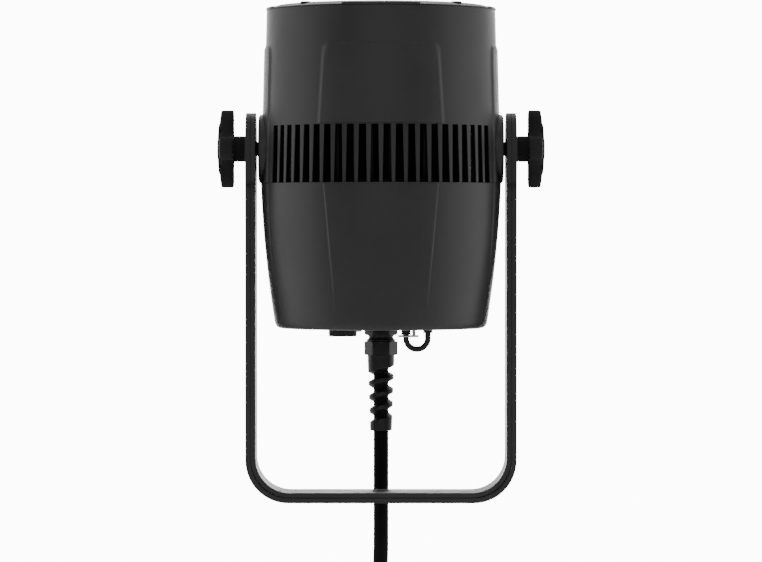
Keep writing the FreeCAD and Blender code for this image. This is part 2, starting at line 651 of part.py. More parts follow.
def star_outline(x):
    """Four round lobes joined by round valleys, in the plane at x."""
    lobe_centre = KNOB_RADIUS - KNOB_LOBE_RADIUS
    valley_centre = KNOB_VALLEY_DEPTH + KNOB_VALLEY_RADIUS
    share = KNOB_LOBE_RADIUS / (KNOB_LOBE_RADIUS + KNOB_VALLEY_RADIUS)

    def at(radius, degrees):
        angle = math.radians(degrees)
        return V(x, radius * math.cos(angle), PIVOT_Z + radius * math.sin(angle))

    edges = []
    for quarter in range(4):
        turn = 90.0 * quarter
        lobe = at(lobe_centre, turn)
        before = lobe + (at(valley_centre, turn - 45) - lobe) * share
        after = lobe + (at(valley_centre, turn + 45) - lobe) * share
        next_lobe = at(lobe_centre, turn + 90)
        next_before = next_lobe + (at(valley_centre, turn + 45) - next_lobe) * share
        edges.append(Part.Arc(before, at(KNOB_RADIUS, turn), after).toShape())
        edges.append(Part.Arc(after, at(KNOB_VALLEY_DEPTH, turn + 45), next_before).toShape())
    return Part.Face(Part.Wire(edges))


def knob(side):
    star = star_outline(KNOB_BACK_X).extrude(V(KNOB_DOME_X - KNOB_BACK_X + 1, 0, 0))
    rim = V(KNOB_RIM_X, KNOB_RADIUS, PIVOT_Z)
    dome = V(KNOB_DOME_X - 0.5, KNOB_RADIUS / 2, PIVOT_Z)
    top = V(KNOB_DOME_X, 0, PIVOT_Z)
    back = [top, V(KNOB_BACK_X, 0, PIVOT_Z), V(KNOB_BACK_X, KNOB_RADIUS - 0.8, PIVOT_Z)]
    back += [V(KNOB_BACK_X + 0.8, KNOB_RADIUS, PIVOT_Z), rim]
    wire = Part.Wire([Part.Arc(rim, dome, top).toShape()] + Part.makePolygon(back).Edges)
    turned = Part.Face(wire).revolve(V(0, 0, PIVOT_Z), V(1, 0, 0), 360)
    hub = along_x(1, YOKE_OUTER_X + WASHER_THICKNESS, KNOB_BACK_X, KNOB_HUB_RADIUS, None)
    body = star.common(turned).fuse(hub).removeSplitter()
    bores = [along_x(1, YOKE_OUTER_X, STUD_OUTER_X, STUD_RADIUS + 0.02, None)]
    bores.append(along_x(1, CAP_INNER_X, 112.0, CAP_RADIUS + 0.02, None))
    body = cut_all(body, bores)
    if side < 0:
        body = body.mirror(V(0, 0, 0), V(1, 0, 0))
    return body


def knob_cap(side):
    return along_x(side, CAP_INNER_X, KNOB_DOME_X + 0.3, CAP_RADIUS, None)


def cord_path(points):
    """Straight runs joined by tangent arcs, each as large as its two runs allow."""
    edges = []
    radii = []
    start = points[0]
    for before, corner, after in zip(points, points[1:], points[2:]):
        into = corner - before
        out = after - corner
        tangent = 0.45 * min(into.Length, out.Length)
        half_turn = into.getAngle(out) / 2.0
        radii.append(tangent / math.tan(half_turn))
        into.normalize()
        out.normalize()
        first = corner - into * tangent
        last = corner + out * tangent
        inner = (first + last) / 2.0 - corner
        inner.normalize()
        centre = corner + inner * (radii[-1] / math.cos(half_turn))
        middle = centre - inner * radii[-1]
        edges.append(Part.makeLine(start, first))
        edges.append(Part.Arc(first, middle, last).toShape())
        start = last
    edges.append(Part.makeLine(start, points[-1]))
    return Part.Wire(edges), radii


def cord_tube(name, points):
    path, radii = cord_path(points)
    direction = points[1] - points[0]
    profile = Part.Wire([Part.makeCircle(CORD_RADIUS, points[0], direction)])
    solid = path.makePipeShell([profile], True, True)
    expected = math.pi * CORD_RADIUS ** 2 * path.Length
    print(name, "length", round(path.Length, 1), "radii", [round(r, 1) for r in radii],
          "volume ratio", round(solid.Volume / expected, 4))
    return solid


def cord_tie():
    """A band round part of the coil, in the coil's own vertical plane."""
    axis = V(0, -1, 0)
    start = COIL_CENTRE + V(COIL_RADIUS, 0, 0)
    band = Part.Face(Part.Wire([Part.makeCircle(COIL_BUNDLE_RADIUS + TIE_THICKNESS, start, V(0, 0, 1))]))
    bore = Part.Face(Part.Wire([Part.makeCircle(COIL_BUNDLE_RADIUS + 0.1, start, V(0, 0, 1))]))
    shape = band.cut(bore).revolve(COIL_CENTRE, axis, TIE_SWEEP)
    shape.rotate(COIL_CENTRE, axis, TIE_ANGLE - TIE_SWEEP / 2.0)
    return shape.Solids[0]


def cord_coil():
    return Part.makeTorus(COIL_RADIUS, COIL_BUNDLE_RADIUS, COIL_CENTRE, V(0, 1, 0))


def plug_boot():
    end = CORD_END_ROUTE[-1]
    cone = Part.makeCone(BOOT_END_RADIUS, BOOT_TOP_RADIUS, BOOT_LENGTH, end - V(0, 0, BOOT_LENGTH))
    return cone.cut(cylinder(CORD_RADIUS + 0.05, end - V(0, 0, 15), end + V(0, 0, 5)))


def plug_body():
    top = CORD_END_ROUTE[-1] - V(0, 0, BOOT_LENGTH)
    neck = top - V(0, 0, PLUG_SHOULDER)
    flare = top - V(0, 0, PLUG_GRIP_END)
    shoulder = Part.makeCone(PLUG_GRIP_RADIUS, BOOT_END_RADIUS, PLUG_SHOULDER, neck)
    grip = cylinder(PLUG_GRIP_RADIUS, flare, neck)
    face = cylinder(PLUG_FACE_RADIUS, top - V(0, 0, PLUG_LENGTH), flare)
    return fused([shoulder, grip, face])


def plug_pins():
    face = CORD_END_ROUTE[-1] - V(0, 0, BOOT_LENGTH + PLUG_LENGTH)
    pins = []
    for side in (-1, 1):
        root = face + V(side * PIN_SPREAD, 0, 0)
        pins.append(cylinder(PIN_RADIUS, root - V(0, 0, PIN_LENGTH), root))
    return Part.makeCompound(pins)


def save(name, shape):
    shape.exportStep(os.path.join("parts", name + ".step"))
    if not shape.isValid() or shape.Volume <= 0:
        print("bad solid", name)


def pivot_hardware():
    for side, word in ((-1, "left"), (1, "right")):
        inner_face = YOKE_OUTER_X - 2 * PLATE - PLATE_GAP
        gap_start = YOKE_OUTER_X - PLATE - PLATE_GAP
        save("pivot_insert_" + word, along_x(side, INSERT_INNER_X, BOSS_FACE_X, INSERT_RADIUS, STUD_RADIUS + 0.05))
        save("pivot_spacer_" + word, along_x(side, BOSS_FACE_X, inner_face, SPACER_RADIUS, RUNNING_BORE))
        save("bracket_liner_" + word, along_x(side, gap_start, gap_start + PLATE_GAP, LINER_RADIUS, RUNNING_BORE))
        save("knob_washer_" + word,
             along_x(side, YOKE_OUTER_X, YOKE_OUTER_X + WASHER_THICKNESS, KNOB_HUB_RADIUS, RUNNING_BORE))
        save("knob_" + word, knob(side))
        save("knob_cap_" + word, knob_cap(side))
        save("pivot_stud_" + word, along_x(side, STUD_INNER_X, STUD_OUTER_X, STUD_RADIUS, None))


def main():
    os.makedirs("parts", exist_ok=True)
    save("outer_bracket", bracket(0.0))
    save("inner_bracket", bracket(PLATE + PLATE_GAP))
    pivot_hardware()

    save("upper_housing", upper_housing())
    save("lower_housing", lower_housing())
    save("front_bezel", front_bezel())
    save("bezel_screws", screw_group(BEZEL_SCREW_CIRCLE, SCREW_ANGLES, BEZEL_SCREW_SEAT_Z, BEZEL_SCREW_TOP_Z,
                                     M4_HEAD_RADIUS, 300.0, M4_RADIUS, M4_SOCKET))
    glass_bottom = GLASS_TOP - GLASS_THICKNESS
    save("front_glass", cylinder(GLASS_RADIUS, V(0, 0, glass_bottom), V(0, 0, GLASS_TOP)))
    save("glass_seal", tube(GLASS_RADIUS - 0.1, 61.0, V(0, 0, BARREL_FLANGE_TOP), V(0, 0, glass_bottom)))
    save("lens", lens())
    save("lens_barrel", lens_barrel())
    save("reflector", reflector())
    save("led_board", led_board())
    sink_top = SINK_BASE_Z + SINK_BASE_THICKNESS
    emitter_bottom = sink_top + LED_BOARD_THICKNESS
    save("led_emitter", cylinder(LED_EMITTER_RADIUS, V(0, 0, emitter_bottom), V(0, 0, LED_EMITTER_TOP)))
    save("led_wires", led_wires())
    save("heat_sink", heat_sink())
    save("heat_sink_screws", screw_group(SINK_SCREW_CIRCLE, [a + SINK_SCREW_TURN for a in SCREW_ANGLES], sink_top,
                                         sink_top + M3_HEAD_HEIGHT, M3_HEAD_RADIUS, 252.0, M3_RADIUS, M3_SOCKET))
    save("pillars", pillars())
    save("pillar_screws", screw_group(PILLAR_CIRCLE, SCREW_ANGLES, BULKHEAD_Z, BULKHEAD_Z - 3.0,
                                      M4_HEAD_RADIUS, 268.0, M4_RADIUS, M4_SOCKET))
    save("bulkhead", bulkhead())
    bulkhead_top = BULKHEAD_Z + BULKHEAD_THICKNESS
    save("bulkhead_screws", screw_group(BULKHEAD_SCREW_CIRCLE, SCREW_ANGLES, bulkhead_top,
                                        bulkhead_top + M3_HEAD_HEIGHT, M3_HEAD_RADIUS, 202.5, M3_RADIUS, M3_SOCKET))
    save("housing_seal", tube(75.9, 73.6, V(0, 0, bulkhead_top), V(0, 0, SPLIT_Z)))
    save("driver_board", driver_board())
    save("board_standoffs", board_standoffs())
    save("driver_parts", driver_parts())
    save("terminal_block", block(-9, 9, 20, 36, BOARD_Z - TERMINAL_HEIGHT, BOARD_Z))
    save("mains_wires", mains_wires())

    save("gland_body", gland_body())
    save("gland_locknut", gland_locknut())
    save("gland_seal", tube(GLAND_BORE - 0.05, CORD_RADIUS + 0.05, V(0, GLAND_Y, 102), V(0, GLAND_Y, 112)))
    save("gland_nut", gland_nut())
    save("cord_entry", cylinder(CORD_RADIUS, V(0, GLAND_Y, CORD_EXIT_Z), V(0, GLAND_Y, CORD_TOP_Z)))
    save("blanking_plug", blanking_plug())
    save("blanking_plug_seal", plug_seal())
    save("earth_screw", socket_screw(EARTH_PLACE, HEAD_BOTTOM, HEAD_BOTTOM - EARTH_HEAD_HEIGHT, EARTH_HEAD_RADIUS,
                                     STUD_END_Z + 1, M4_RADIUS, M4_SOCKET))
    save("safety_eye", safety_eye())
    save("safety_eye_nuts", eye_nuts())
    save("locking_pin", locking_pin())

    save("power_cord", cord_tube("power_cord", CORD_ROUTE))
    save("cord_coil", cord_coil())
    save("cord_tie", cord_tie())
    save("cord_end", cord_tube("cord_end", CORD_END_ROUTE))
    save("plug_boot", plug_boot())
    save("plug_body", plug_body())
    save("plug_pins", plug_pins())


main()
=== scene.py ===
import math

import bmesh
import bpy
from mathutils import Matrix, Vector


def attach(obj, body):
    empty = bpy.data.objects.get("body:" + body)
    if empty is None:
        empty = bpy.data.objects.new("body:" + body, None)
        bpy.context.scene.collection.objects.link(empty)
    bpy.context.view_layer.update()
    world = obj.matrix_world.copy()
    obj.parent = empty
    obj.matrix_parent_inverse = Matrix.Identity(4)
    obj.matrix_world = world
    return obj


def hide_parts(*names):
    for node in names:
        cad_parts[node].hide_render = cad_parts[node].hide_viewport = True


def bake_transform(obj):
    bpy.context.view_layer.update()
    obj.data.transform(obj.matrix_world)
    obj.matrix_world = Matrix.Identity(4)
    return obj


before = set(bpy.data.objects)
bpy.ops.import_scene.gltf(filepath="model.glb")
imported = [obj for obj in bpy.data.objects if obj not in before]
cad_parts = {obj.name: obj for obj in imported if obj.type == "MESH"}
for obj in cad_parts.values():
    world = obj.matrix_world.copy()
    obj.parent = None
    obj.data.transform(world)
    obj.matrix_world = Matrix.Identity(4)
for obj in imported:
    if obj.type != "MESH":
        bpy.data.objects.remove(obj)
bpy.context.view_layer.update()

MM = 0.001
PIVOT_Z = 235.0

# ---- camera
CAMERA_PLACE = Vector((0.0, -2.467, 0.1803))
CAMERA_AIM = Vector((0.0, 0.0, 0.147))
CAMERA_LENS = 174.8


def add_to_scene(name, data):
    obj = bpy.data.objects.new(name, data)
    bpy.context.scene.collection.objects.link(obj)
    return obj


def aimed(obj, place, target):
    """Puts a camera or light at a place, looking at a target."""
    obj.location = place
    obj.rotation_euler = (Vector(target) - Vector(place)).to_track_quat("-Z", "Y").to_euler()
    return obj


camera_data = bpy.data.cameras.new("camera")
camera_data.lens = CAMERA_LENS
camera_data.sensor_width = 36.0
bpy.context.scene.camera = aimed(add_to_scene("camera", camera_data), CAMERA_PLACE, CAMERA_AIM)


# ---- mesh helpers
def smoothstep(x):
    x = min(max(x, 0.0), 1.0)
    return x * x * (3.0 - 2.0 * x)


def between(x, x0, x1, y0, y1):
    """A straight-line change from y0 to y1 as x goes from x0 to x1, level beyond them."""
    return y0 + (y1 - y0) * min(max((x - x0) / (x1 - x0), 0.0), 1.0)


def divided(start, end, count):
    """Values from start to end in that many equal steps, both ends included."""
    return [start + (end - start) * i / count for i in range(count + 1)]


def spaced(start, end, step):
    """Evenly spaced values from start to end, about step apart."""
    return divided(start, end, max(1, int(round(abs(end - start) / step))))


def directions(count):
    """Angles evenly spaced round a turn."""
    return [2.0 * math.pi * i / count for i in range(count)]


def polar(radius, angle, *height):
    return (radius * math.cos(angle), radius * math.sin(angle), *height)


def turned(x, y, angle):
    """A point turned about the origin."""
    return x * math.cos(angle) - y * math.sin(angle), x * math.sin(angle) + y * math.cos(angle)


def piece(name, part, body, sharp_degrees=38.0):
    """A mesh object from points in millimetres, smooth apart from sharp edges, riding on a body."""
    vertices, faces = part
    mesh = bpy.data.meshes.new(name)
    mesh.from_pydata([(x * MM, y * MM, z * MM) for x, y, z in vertices], [], faces)
    mesh.validate()
    mesh.shade_smooth()
    mesh.set_sharp_from_angle(angle=math.radians(sharp_degrees))
    obj = add_to_scene(name, mesh)
    if body:
        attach(obj, body)
    return obj


def build(name, part, body, sharp_degrees, slot, node, weld_mm=0.0):
    """A finished piece in place of a CAD node, welded first where its parts meet point to point."""
    obj = piece(name, part, body, sharp_degrees)
    if weld_mm:
        weld(obj, weld_mm)
    obj.data.materials.append(materials[slot])
    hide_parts(node)
    return obj


def weld(obj, distance):
    """Joins the points of a mesh that lie together and turns its faces outwards."""
    work = bmesh.new()
    work.from_mesh(obj.data)
    bmesh.ops.remove_doubles(work, verts=work.verts, dist=distance * MM)
    bmesh.ops.recalc_face_normals(work, faces=work.faces)
    work.to_mesh(obj.data)
    work.free()


def skin(rings, cap_start=True, cap_end=True, close=True):
    """Vertices and faces of a skin over rings of equal point count."""
    count = len(rings[0])
    vertices = [p for ring in rings for p in ring]
    faces = []
    for row in range(len(rings) - 1):
        for i in range(count if close else count - 1):
            j = (i + 1) % count
            a = row * count
            faces.append((a + i, a + j, a + count + j, a + count + i))
    if cap_start:
        faces.append(tuple(range(count - 1, -1, -1)))
    if cap_end:
        start = (len(rings) - 1) * count
        faces.append(tuple(range(start, start + count)))
    return vertices, faces


def closed_skin(rings):
    """A skin that runs on from the last ring back to the first."""
    return skin(rings + rings[:1], False, False)


def merge(parts):
    """One list of vertices and faces from several."""
    vertices = []
    faces = []
    for points, polygons in parts:
        base = len(vertices)
        vertices.extend(points)
        faces.extend(tuple(base + i for i in polygon) for polygon in polygons)
    return vertices, faces


def moved(part, move):
    points, faces = part
    return [move(*p) for p in points], faces


def at(dx, dy, dz=0.0):
    return lambda x, y, z: (x + dx, y + dy, z + dz)


def outward(side):
    """Turns a piece drawn up the Z axis to lie along the pivot axis, pointing out of side -1 or 1."""
    return lambda x, y, z: (side * z, side * x, y + PIVOT_Z)


def circles(profile, count=96):
    """Rings from (radius, height) pairs."""
    return [[polar(r, a, z) for a in directions(count)] for r, z in profile]


def hexagons(profile, count=48):
    """Hexagonal rings from (width across flats, height, corner trim), with a corner on the X axis."""
    rings = []
    for flats, z, trim in profile:
        corner = flats / math.sqrt(3.0) - trim
        ring = []
        for angle in directions(count):
            off = (angle % (math.pi / 3.0)) - math.pi / 6.0
            ring.append(polar(min(flats / 2.0 / math.cos(off), corner), angle, z))
        rings.append(ring)
    return rings


def lathe(profile, count=96):
    """A skin turned about the Z axis from (radius, height) points, closed over at both ends."""
    return skin(circles(profile, count))


def ring_lathe(profile, count=96):
    """A closed ring section turned about the Z axis."""
    return closed_skin(circles(profile, count))


def round_profile(corners, radius, steps=4):
    """The same (radius, height) points with each inner corner rounded."""
    result = [corners[0]]
    for before, corner, after in zip(corners, corners[1:], corners[2:]):
        p = Vector(corner)
        to_before = Vector(before) - p
        to_after = Vector(after) - p
        size = min(radius, 0.45 * to_before.length, 0.45 * to_after.length)
        start = p + to_before.normalized() * size
        end = p + to_after.normalized() * size
        for i in range(steps + 1):
            t = i / steps
            spot = start * (1 - t) ** 2 + p * 2 * t * (1 - t) + end * t ** 2
            result.append((spot.x, spot.y))
    result.append(corners[-1])
    return result


def bevelled(obj, width, angle):
    """Rounds the edges sharper than an angle in degrees."""
    bevel = obj.modifiers.new("soft_edges", "BEVEL")
    bevel.width = width * MM
    bevel.segments = 2
    bevel.limit_method = "ANGLE"
    bevel.angle_limit = math.radians(angle)
    bevel.harden_normals = True


def walled(obj, thickness):
    wall = obj.modifiers.new("wall", "SOLIDIFY")
    wall.thickness = thickness * MM
    wall.offset = -1.0
    wall.use_even_offset = True


# ---- cords
CORD_DIAMETER = 0.010
CORD_STEP = 0.004
COIL_CENTRE = (0.2, 28.0, -145.6)
COIL_RADIUS = 50.0
COIL_STRAND_OFFSET = 8.85
COIL_STRANDS = 5
COIL_START = math.radians(120.0)
COIL_STEPS = 65
COIL_STEPS_PER_TURN = 16
CORD_ROUTE = [(0, 28, 45.8), (0, 28, 0.0), (0, 28, -55), (-6.8, 28, -73.8), (-19.7, 28, -89.1)]
CORD_END_ROUTE = [(-58.7, 18.6, -139.2), (-65.0, 18, -160.4), (-65.0, 18, -178.0)]


def coil_spot(reach, side, angle):
    """The point at that distance from the coil's axis, off to its side, at an angle round the coil."""
    x, z = polar(reach, angle)
    return COIL_CENTRE[0] + x, COIL_CENTRE[1] + side, COIL_CENTRE[2] + z


def coil_points():
    """The lead's turns, each beside the last one, in a bundle of five strands."""
    points = []
    swell = 1.0 / math.cos(math.pi / COIL_STEPS_PER_TURN)
    for step in range(1, COIL_STEPS + 1):
        turn = step / COIL_STEPS_PER_TURN
        out, side = polar(COIL_STRAND_OFFSET, 2.0 * math.pi * turn / COIL_STRANDS)
        points.append(coil_spot((COIL_RADIUS + out) * swell, side, COIL_START + 2.0 * math.pi * turn))
    return points


def smooth_path(points_mm):
    """A smooth open curve as points in metres, from its control points in millimetres."""
    data = bpy.data.curves.new("cord_line", "CURVE")
    data.dimensions = "3D"
    spline = data.splines.new("NURBS")
    spline.points.add(len(points_mm) - 1)
    for point, (x, y, z) in zip(spline.points, points_mm):
        point.co = (x * MM, y * MM, z * MM, 1.0)
    spline.order_u = 3
    spline.use_endpoint_u = True
    spline.resolution_u = 12
    curve = add_to_scene("cord_line", data)
    bpy.context.view_layer.update()
    mesh = bpy.data.meshes.new_from_object(curve)
    points = [v.co.copy() for v in mesh.vertices]
    bpy.data.meshes.remove(mesh)
    bpy.data.objects.remove(curve)
    return points


def even_path(points, step):
    """The same line with points that step apart, so that long straight runs are divided too."""
    reach = [0.0]
    for a, b in zip(points, points[1:]):
        reach.append(reach[-1] + (b - a).length)
    count = max(2, int(round(reach[-1] / step)))
    result = []
    index = 0
    for i in range(count + 1):
        target = reach[-1] * i / count
        while index < len(points) - 2 and reach[index + 1] < target:
            index += 1
        share = (target - reach[index]) / max(reach[index + 1] - reach[index], 1e-9)
        result.append(points[index].lerp(points[index + 1], min(max(share, 0.0), 1.0)))
    return result


def tube_along(path, radius, count=24):
    """Vertices in millimetres and faces of a round tube along points in metres."""
    normal = (path[1] - path[0]).orthogonal().normalized()
    rings = []
    for i, point in enumerate(path):
        tangent = (path[min(i + 1, len(path) - 1)] - path[max(i - 1, 0)]).normalized()
        normal = (normal - tangent * normal.dot(tangent)).normalized()
        other = tangent.cross(normal)
        ring = []
        for angle in directions(count):
            spot = point + (normal * math.cos(angle) + other * math.sin(angle)) * radius
            ring.append(tuple(spot / MM))
        rings.append(ring)
    return skin(rings)


cord_path = even_path(smooth_path(CORD_ROUTE + coil_points() + CORD_END_ROUTE), CORD_STEP)
mains_lead = piece("mains_lead", tube_along(cord_path, CORD_DIAMETER / 2.0), None)
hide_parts("power_cord", "cord_coil", "cord_end")
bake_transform(mains_lead)


# ---- materials
def fill(node, values):
    """Sets or links a node's inputs by name; an underscore stands for a space."""
    for name, value in values.items():
        place = node.inputs[name.replace("_", " ")]
        if isinstance(value, bpy.types.NodeSocket):
            node.id_data.links.new(value, place)
        else:
            place.default_value = value
    return node


def node_with(tree, kind, **values):
    return fill(tree.nodes.new("ShaderNode" + kind), values)


def node_material(name, colour, roughness, **values):
    """A Principled material and its parts, to build a finish on."""
    material = bpy.data.materials.new(name)
    material.use_nodes = True
    tree = material.node_tree
    shader = tree.nodes["Principled BSDF"]
    fill(shader, {"Base_Color": (*colour, 1.0), "Roughness": roughness, **values})
    return material, tree, shader


def object_coordinates(tree, scale=(1.0, 1.0, 1.0)):
    place = node_with(tree, "TexCoord").outputs["Object"]
    return node_with(tree, "Mapping", Vector=place, Scale=scale).outputs["Vector"]


def noise(tree, vector, scale, detail=3.0, roughness=0.55):
    node = node_with(tree, "TexNoise", Vector=vector, Scale=scale, Detail=detail, Roughness=roughness)
    return node.outputs["Fac"]


def spread(tree, value, low, high, start=0.35, end=0.65):
    """Maps the middle of a noise to values between low and high."""
    node = node_with(tree, "MapRange", Value=value, From_Min=start, From_Max=end, To_Min=low, To_Max=high)
    return node.outputs["Result"]


def two_tone(tree, shader, value, dark, light):
    """Base colour from dark to light as the value goes from 0 to 1."""
    mix = tree.nodes.new("ShaderNodeMix")
    mix.data_type = "RGBA"
    fill(mix, {"A": (*dark, 1.0), "B": (*light, 1.0), "Factor": value})
    fill(shader, {"Base_Color": mix.outputs["Result"]})
    return mix


def bump(tree, shader, height, distance_mm, strength=1.0, **under):
    """Relief on a shader; under is the Normal of another bump."""
    node = node_with(tree, "Bump", Height=height, Distance=distance_mm * MM, Strength=strength, **under)
    fill(shader, {"Normal": node.outputs["Normal"]})
    return node.outputs["Normal"]


def textured(name, colour, roughness, shine, grain_noise, drift_noise, gloss, tones, height):
    """A small even grain over a slow change of gloss and tone."""
    material, tree, shader = node_material(name, colour, roughness, Specular_IOR_Level=shine)
    vector = object_coordinates(tree)
    grains = noise(tree, vector, *grain_noise)
    drift = noise(tree, vector, *drift_noise)
    fill(shader, {"Roughness": spread(tree, drift, roughness - gloss[0], roughness + gloss[1])})
    dark, light = [[c * tone for c in colour] for tone in tones]
    two_tone(tree, shader, spread(tree, drift, 0.0, 1.0), dark, light)
    bump(tree, shader, grains, height)
    return material


def powder_coat(name, colour, roughness, shine=0.45, grain=1500.0, height=0.02):
    """Fine-textured paint."""
    return textured(name, colour, roughness, shine, (grain, 2.0), (22.0, 3.0), (0.04, 0.05),
                    (0.92, 1.10), height)


def moulded(name, colour, roughness, shine=0.5, height=0.012, grain=900.0):
    """Moulded plastic or rubber with a faint spark-eroded texture."""
    return textured(name, colour, roughness, shine, (grain, 4.0, 0.6), (60.0, 2.0), (0.05, 0.06),
                    (0.85, 1.2), height)


def machined(name, colour, roughness, scale=(1.0, 1.0, 1.0), grain=400.0, height=0.006):
    """Bare or plated metal with fine tool marks and small changes of gloss."""
    material, tree, shader = node_material(name, colour, roughness, Metallic=1.0)
    marks = noise(tree, object_coordinates(tree, scale), grain, 5.0, 0.65)
    stains = noise(tree, object_coordinates(tree), 45.0, 3.0)
    fill(shader, {"Roughness": spread(tree, marks, roughness - 0.05, roughness + 0.08)})
    two_tone(tree, shader, spread(tree, stains, 0.0, 1.0), [c * 0.86 for c in colour], colour)
    bump(tree, shader, marks, height)
    return material


def clear(name, tint, roughness, ior):
    """Glass with a faint haze of handling marks in its gloss."""
    material, tree, shader = node_material(name, tint, roughness, Transmission_Weight=1.0, IOR=ior)
    haze = noise(tree, object_coordinates(tree), 30.0, 4.0)
    fill(shader, {"Roughness": spread(tree, haze, roughness, roughness + 0.04)})
    return material


def printed_board(name):
    """Green solder resist with faint copper tracks under it."""
    material, tree, shader = node_material(name, (0.03, 0.14, 0.06), 0.35)
    vector = object_coordinates(tree)
    tracks = node_with(tree, "TexWave", Vector=vector, Scale=160.0, Distortion=6.0, Detail_Scale=1.0)
    lines = spread(tree, tracks.outputs["Fac"], 0.0, 1.0, 0.45, 0.55)
    two_tone(tree, shader, lines, (0.02, 0.10, 0.045), (0.045, 0.19, 0.08))
    bump(tree, shader, lines, 0.03)
    return material


def phosphor(name):
    """Yellow silicone over the LED chips, which show as a soft grid."""
    glow_depth = (0.001, 0.0007, 0.0003)
    material, tree, shader = node_material(name, (0.85, 0.66, 0.12), 0.4, Subsurface_Weight=0.2,
                                           Subsurface_Radius=glow_depth)
    dots = node_with(tree, "TexVoronoi", Vector=object_coordinates(tree), Scale=420.0, Randomness=0.1)
    grid = spread(tree, dots.outputs["Distance"], 0.0, 1.0, 0.2, 0.6)
    two_tone(tree, shader, grid, (0.88, 0.72, 0.20), (0.80, 0.55, 0.07))
    bump(tree, shader, grid, 0.05)
    return material


def woven(name, colour):
    """Hook-and-loop tape: crossed threads with fuzz."""
    material, tree, shader = node_material(name, colour, 0.9, Sheen_Weight=0.15)
    vector = object_coordinates(tree)
    threads = node_with(tree, "TexVoronoi", Vector=vector, Scale=1300.0)
    fuzz = noise(tree, vector, 700.0, 6.0, 0.7)
    two_tone(tree, shader, fuzz, [c * 0.6 for c in colour], [c * 1.7 for c in colour])
    first = bump(tree, shader, threads.outputs["Distance"], 0.25)
    bump(tree, shader, fuzz, 0.12, 0.7, Normal=first)
    return material


def calculate(tree, operation, *values):
    """A math node; each value is a number or another node's output."""
    node = tree.nodes.new("ShaderNodeMath")
    node.operation = operation
    for place, value in zip(node.inputs, values):
        if isinstance(value, float):
            place.default_value = value
        else:
            tree.links.new(value, place)
    return node.outputs["Value"]


# Painted shade: a near-black, dull finish painted into the vent slots, where shade falls.
VENT_SHADE_COLOUR = (0.006, 0.006, 0.006)
VENT_SHADE_SHINE = 0.04


def paint_vent_shade(material, skin_low, skin_high):
    """Paints shade on what lies under a tapered round skin, from (radius, height) low to high: dark and
    dull, as painted shade in the vents.
    """
    tree = material.node_tree
    shader = tree.nodes["Principled BSDF"]
    flat = tree.nodes.new("ShaderNodeVectorMath")
    flat.operation = "LENGTH"
    tree.links.new(object_coordinates(tree, (1.0, 1.0, 0.0)), flat.inputs[0])
    height = node_with(tree, "SeparateXYZ", Vector=object_coordinates(tree)).outputs["Z"]
    (low_radius, low_z), (high_radius, high_z) = skin_low, skin_high
    skin_radius = spread(tree, height, low_radius * MM, high_radius * MM, low_z * MM, high_z * MM)
    # Mask of the painted shade: under the skin and above the split.
    under = calculate(tree, "LESS_THAN", flat.outputs["Value"], skin_radius)
    above = calculate(tree, "GREATER_THAN", height, low_z * MM)
    vent_shade_mask = calculate(tree, "MULTIPLY", under, above)
    paint = shader.inputs["Base Color"].links[0].from_socket
    mix = two_tone(tree, shader, vent_shade_mask, VENT_SHADE_COLOUR, VENT_SHADE_COLOUR)
    shine = shader.inputs["Specular IOR Level"].default_value
    fill(mix, {"A": paint})
    fill(shader, {"Specular_IOR_Level": spread(tree, vent_shade_mask, shine, VENT_SHADE_SHINE, 0.0, 1.0)})


FINISHES = [
    ("housing_paint", powder_coat, (0.033, 0.033, 0.034), 0.46),
    ("bezel_paint", powder_coat, (0.033, 0.033, 0.034), 0.46),
    ("bracket_paint", powder_coat, (0.046, 0.046, 0.047), 0.55, 0.22),
    ("knob_plastic", moulded, (0.029, 0.029, 0.029), 0.82, 0.08),
    ("gland_plastic", moulded, (0.012, 0.012, 0.012), 0.42, 0.45),
    ("cord_jacket", moulded, (0.011, 0.011, 0.011), 0.66, 0.04, 0.02, 700.0),
    ("seal_rubber", moulded, (0.010, 0.010, 0.010), 0.70),
    ("clear_glass", clear, (0.94, 0.97, 0.98), 0.01, 1.50),
    ("lens_glass", clear, (0.96, 0.98, 0.99), 0.01, 1.52),
    ("reflector_metal", machined, (0.80, 0.80, 0.82), 0.16, (1.0, 1.0, 6.0)),
    ("black_metal", powder_coat, (0.008, 0.008, 0.009), 0.60, 0.2),
    ("black_steel", powder_coat, (0.048, 0.048, 0.049), 0.62, 0.05, 1100.0),
    ("bright_steel", machined, (0.62, 0.62, 0.63), 0.28, (5.0, 1.0, 1.0)),
    ("insert_brass", machined, (0.36, 0.25, 0.11), 0.45, (8.0, 1.0, 1.0)),
    ("circuit_board", printed_board),
    ("led_phosphor", phosphor),
    ("component_plastic", moulded, (0.05, 0.05, 0.06), 0.40),
    ("wire_insulation", moulded, (0.10, 0.10, 0.12), 0.50),
    ("tie_fabric", woven, (0.011, 0.011, 0.011)),
    ("plug_plastic", moulded, (0.010, 0.010, 0.010), 0.42),
    ("pin_metal", machined, (0.70, 0.68, 0.62), 0.22, (1.0, 1.0, 4.0)),
]
materials = {name: make(name, *values) for name, make, *values in FINISHES}
# Painted shade inside the housing's vent slots.
paint_vent_shade(materials["housing_paint"], (78.4, 212.1), (75.6, 327.0))
mains_lead.data.materials.append(materials["cord_jacket"])


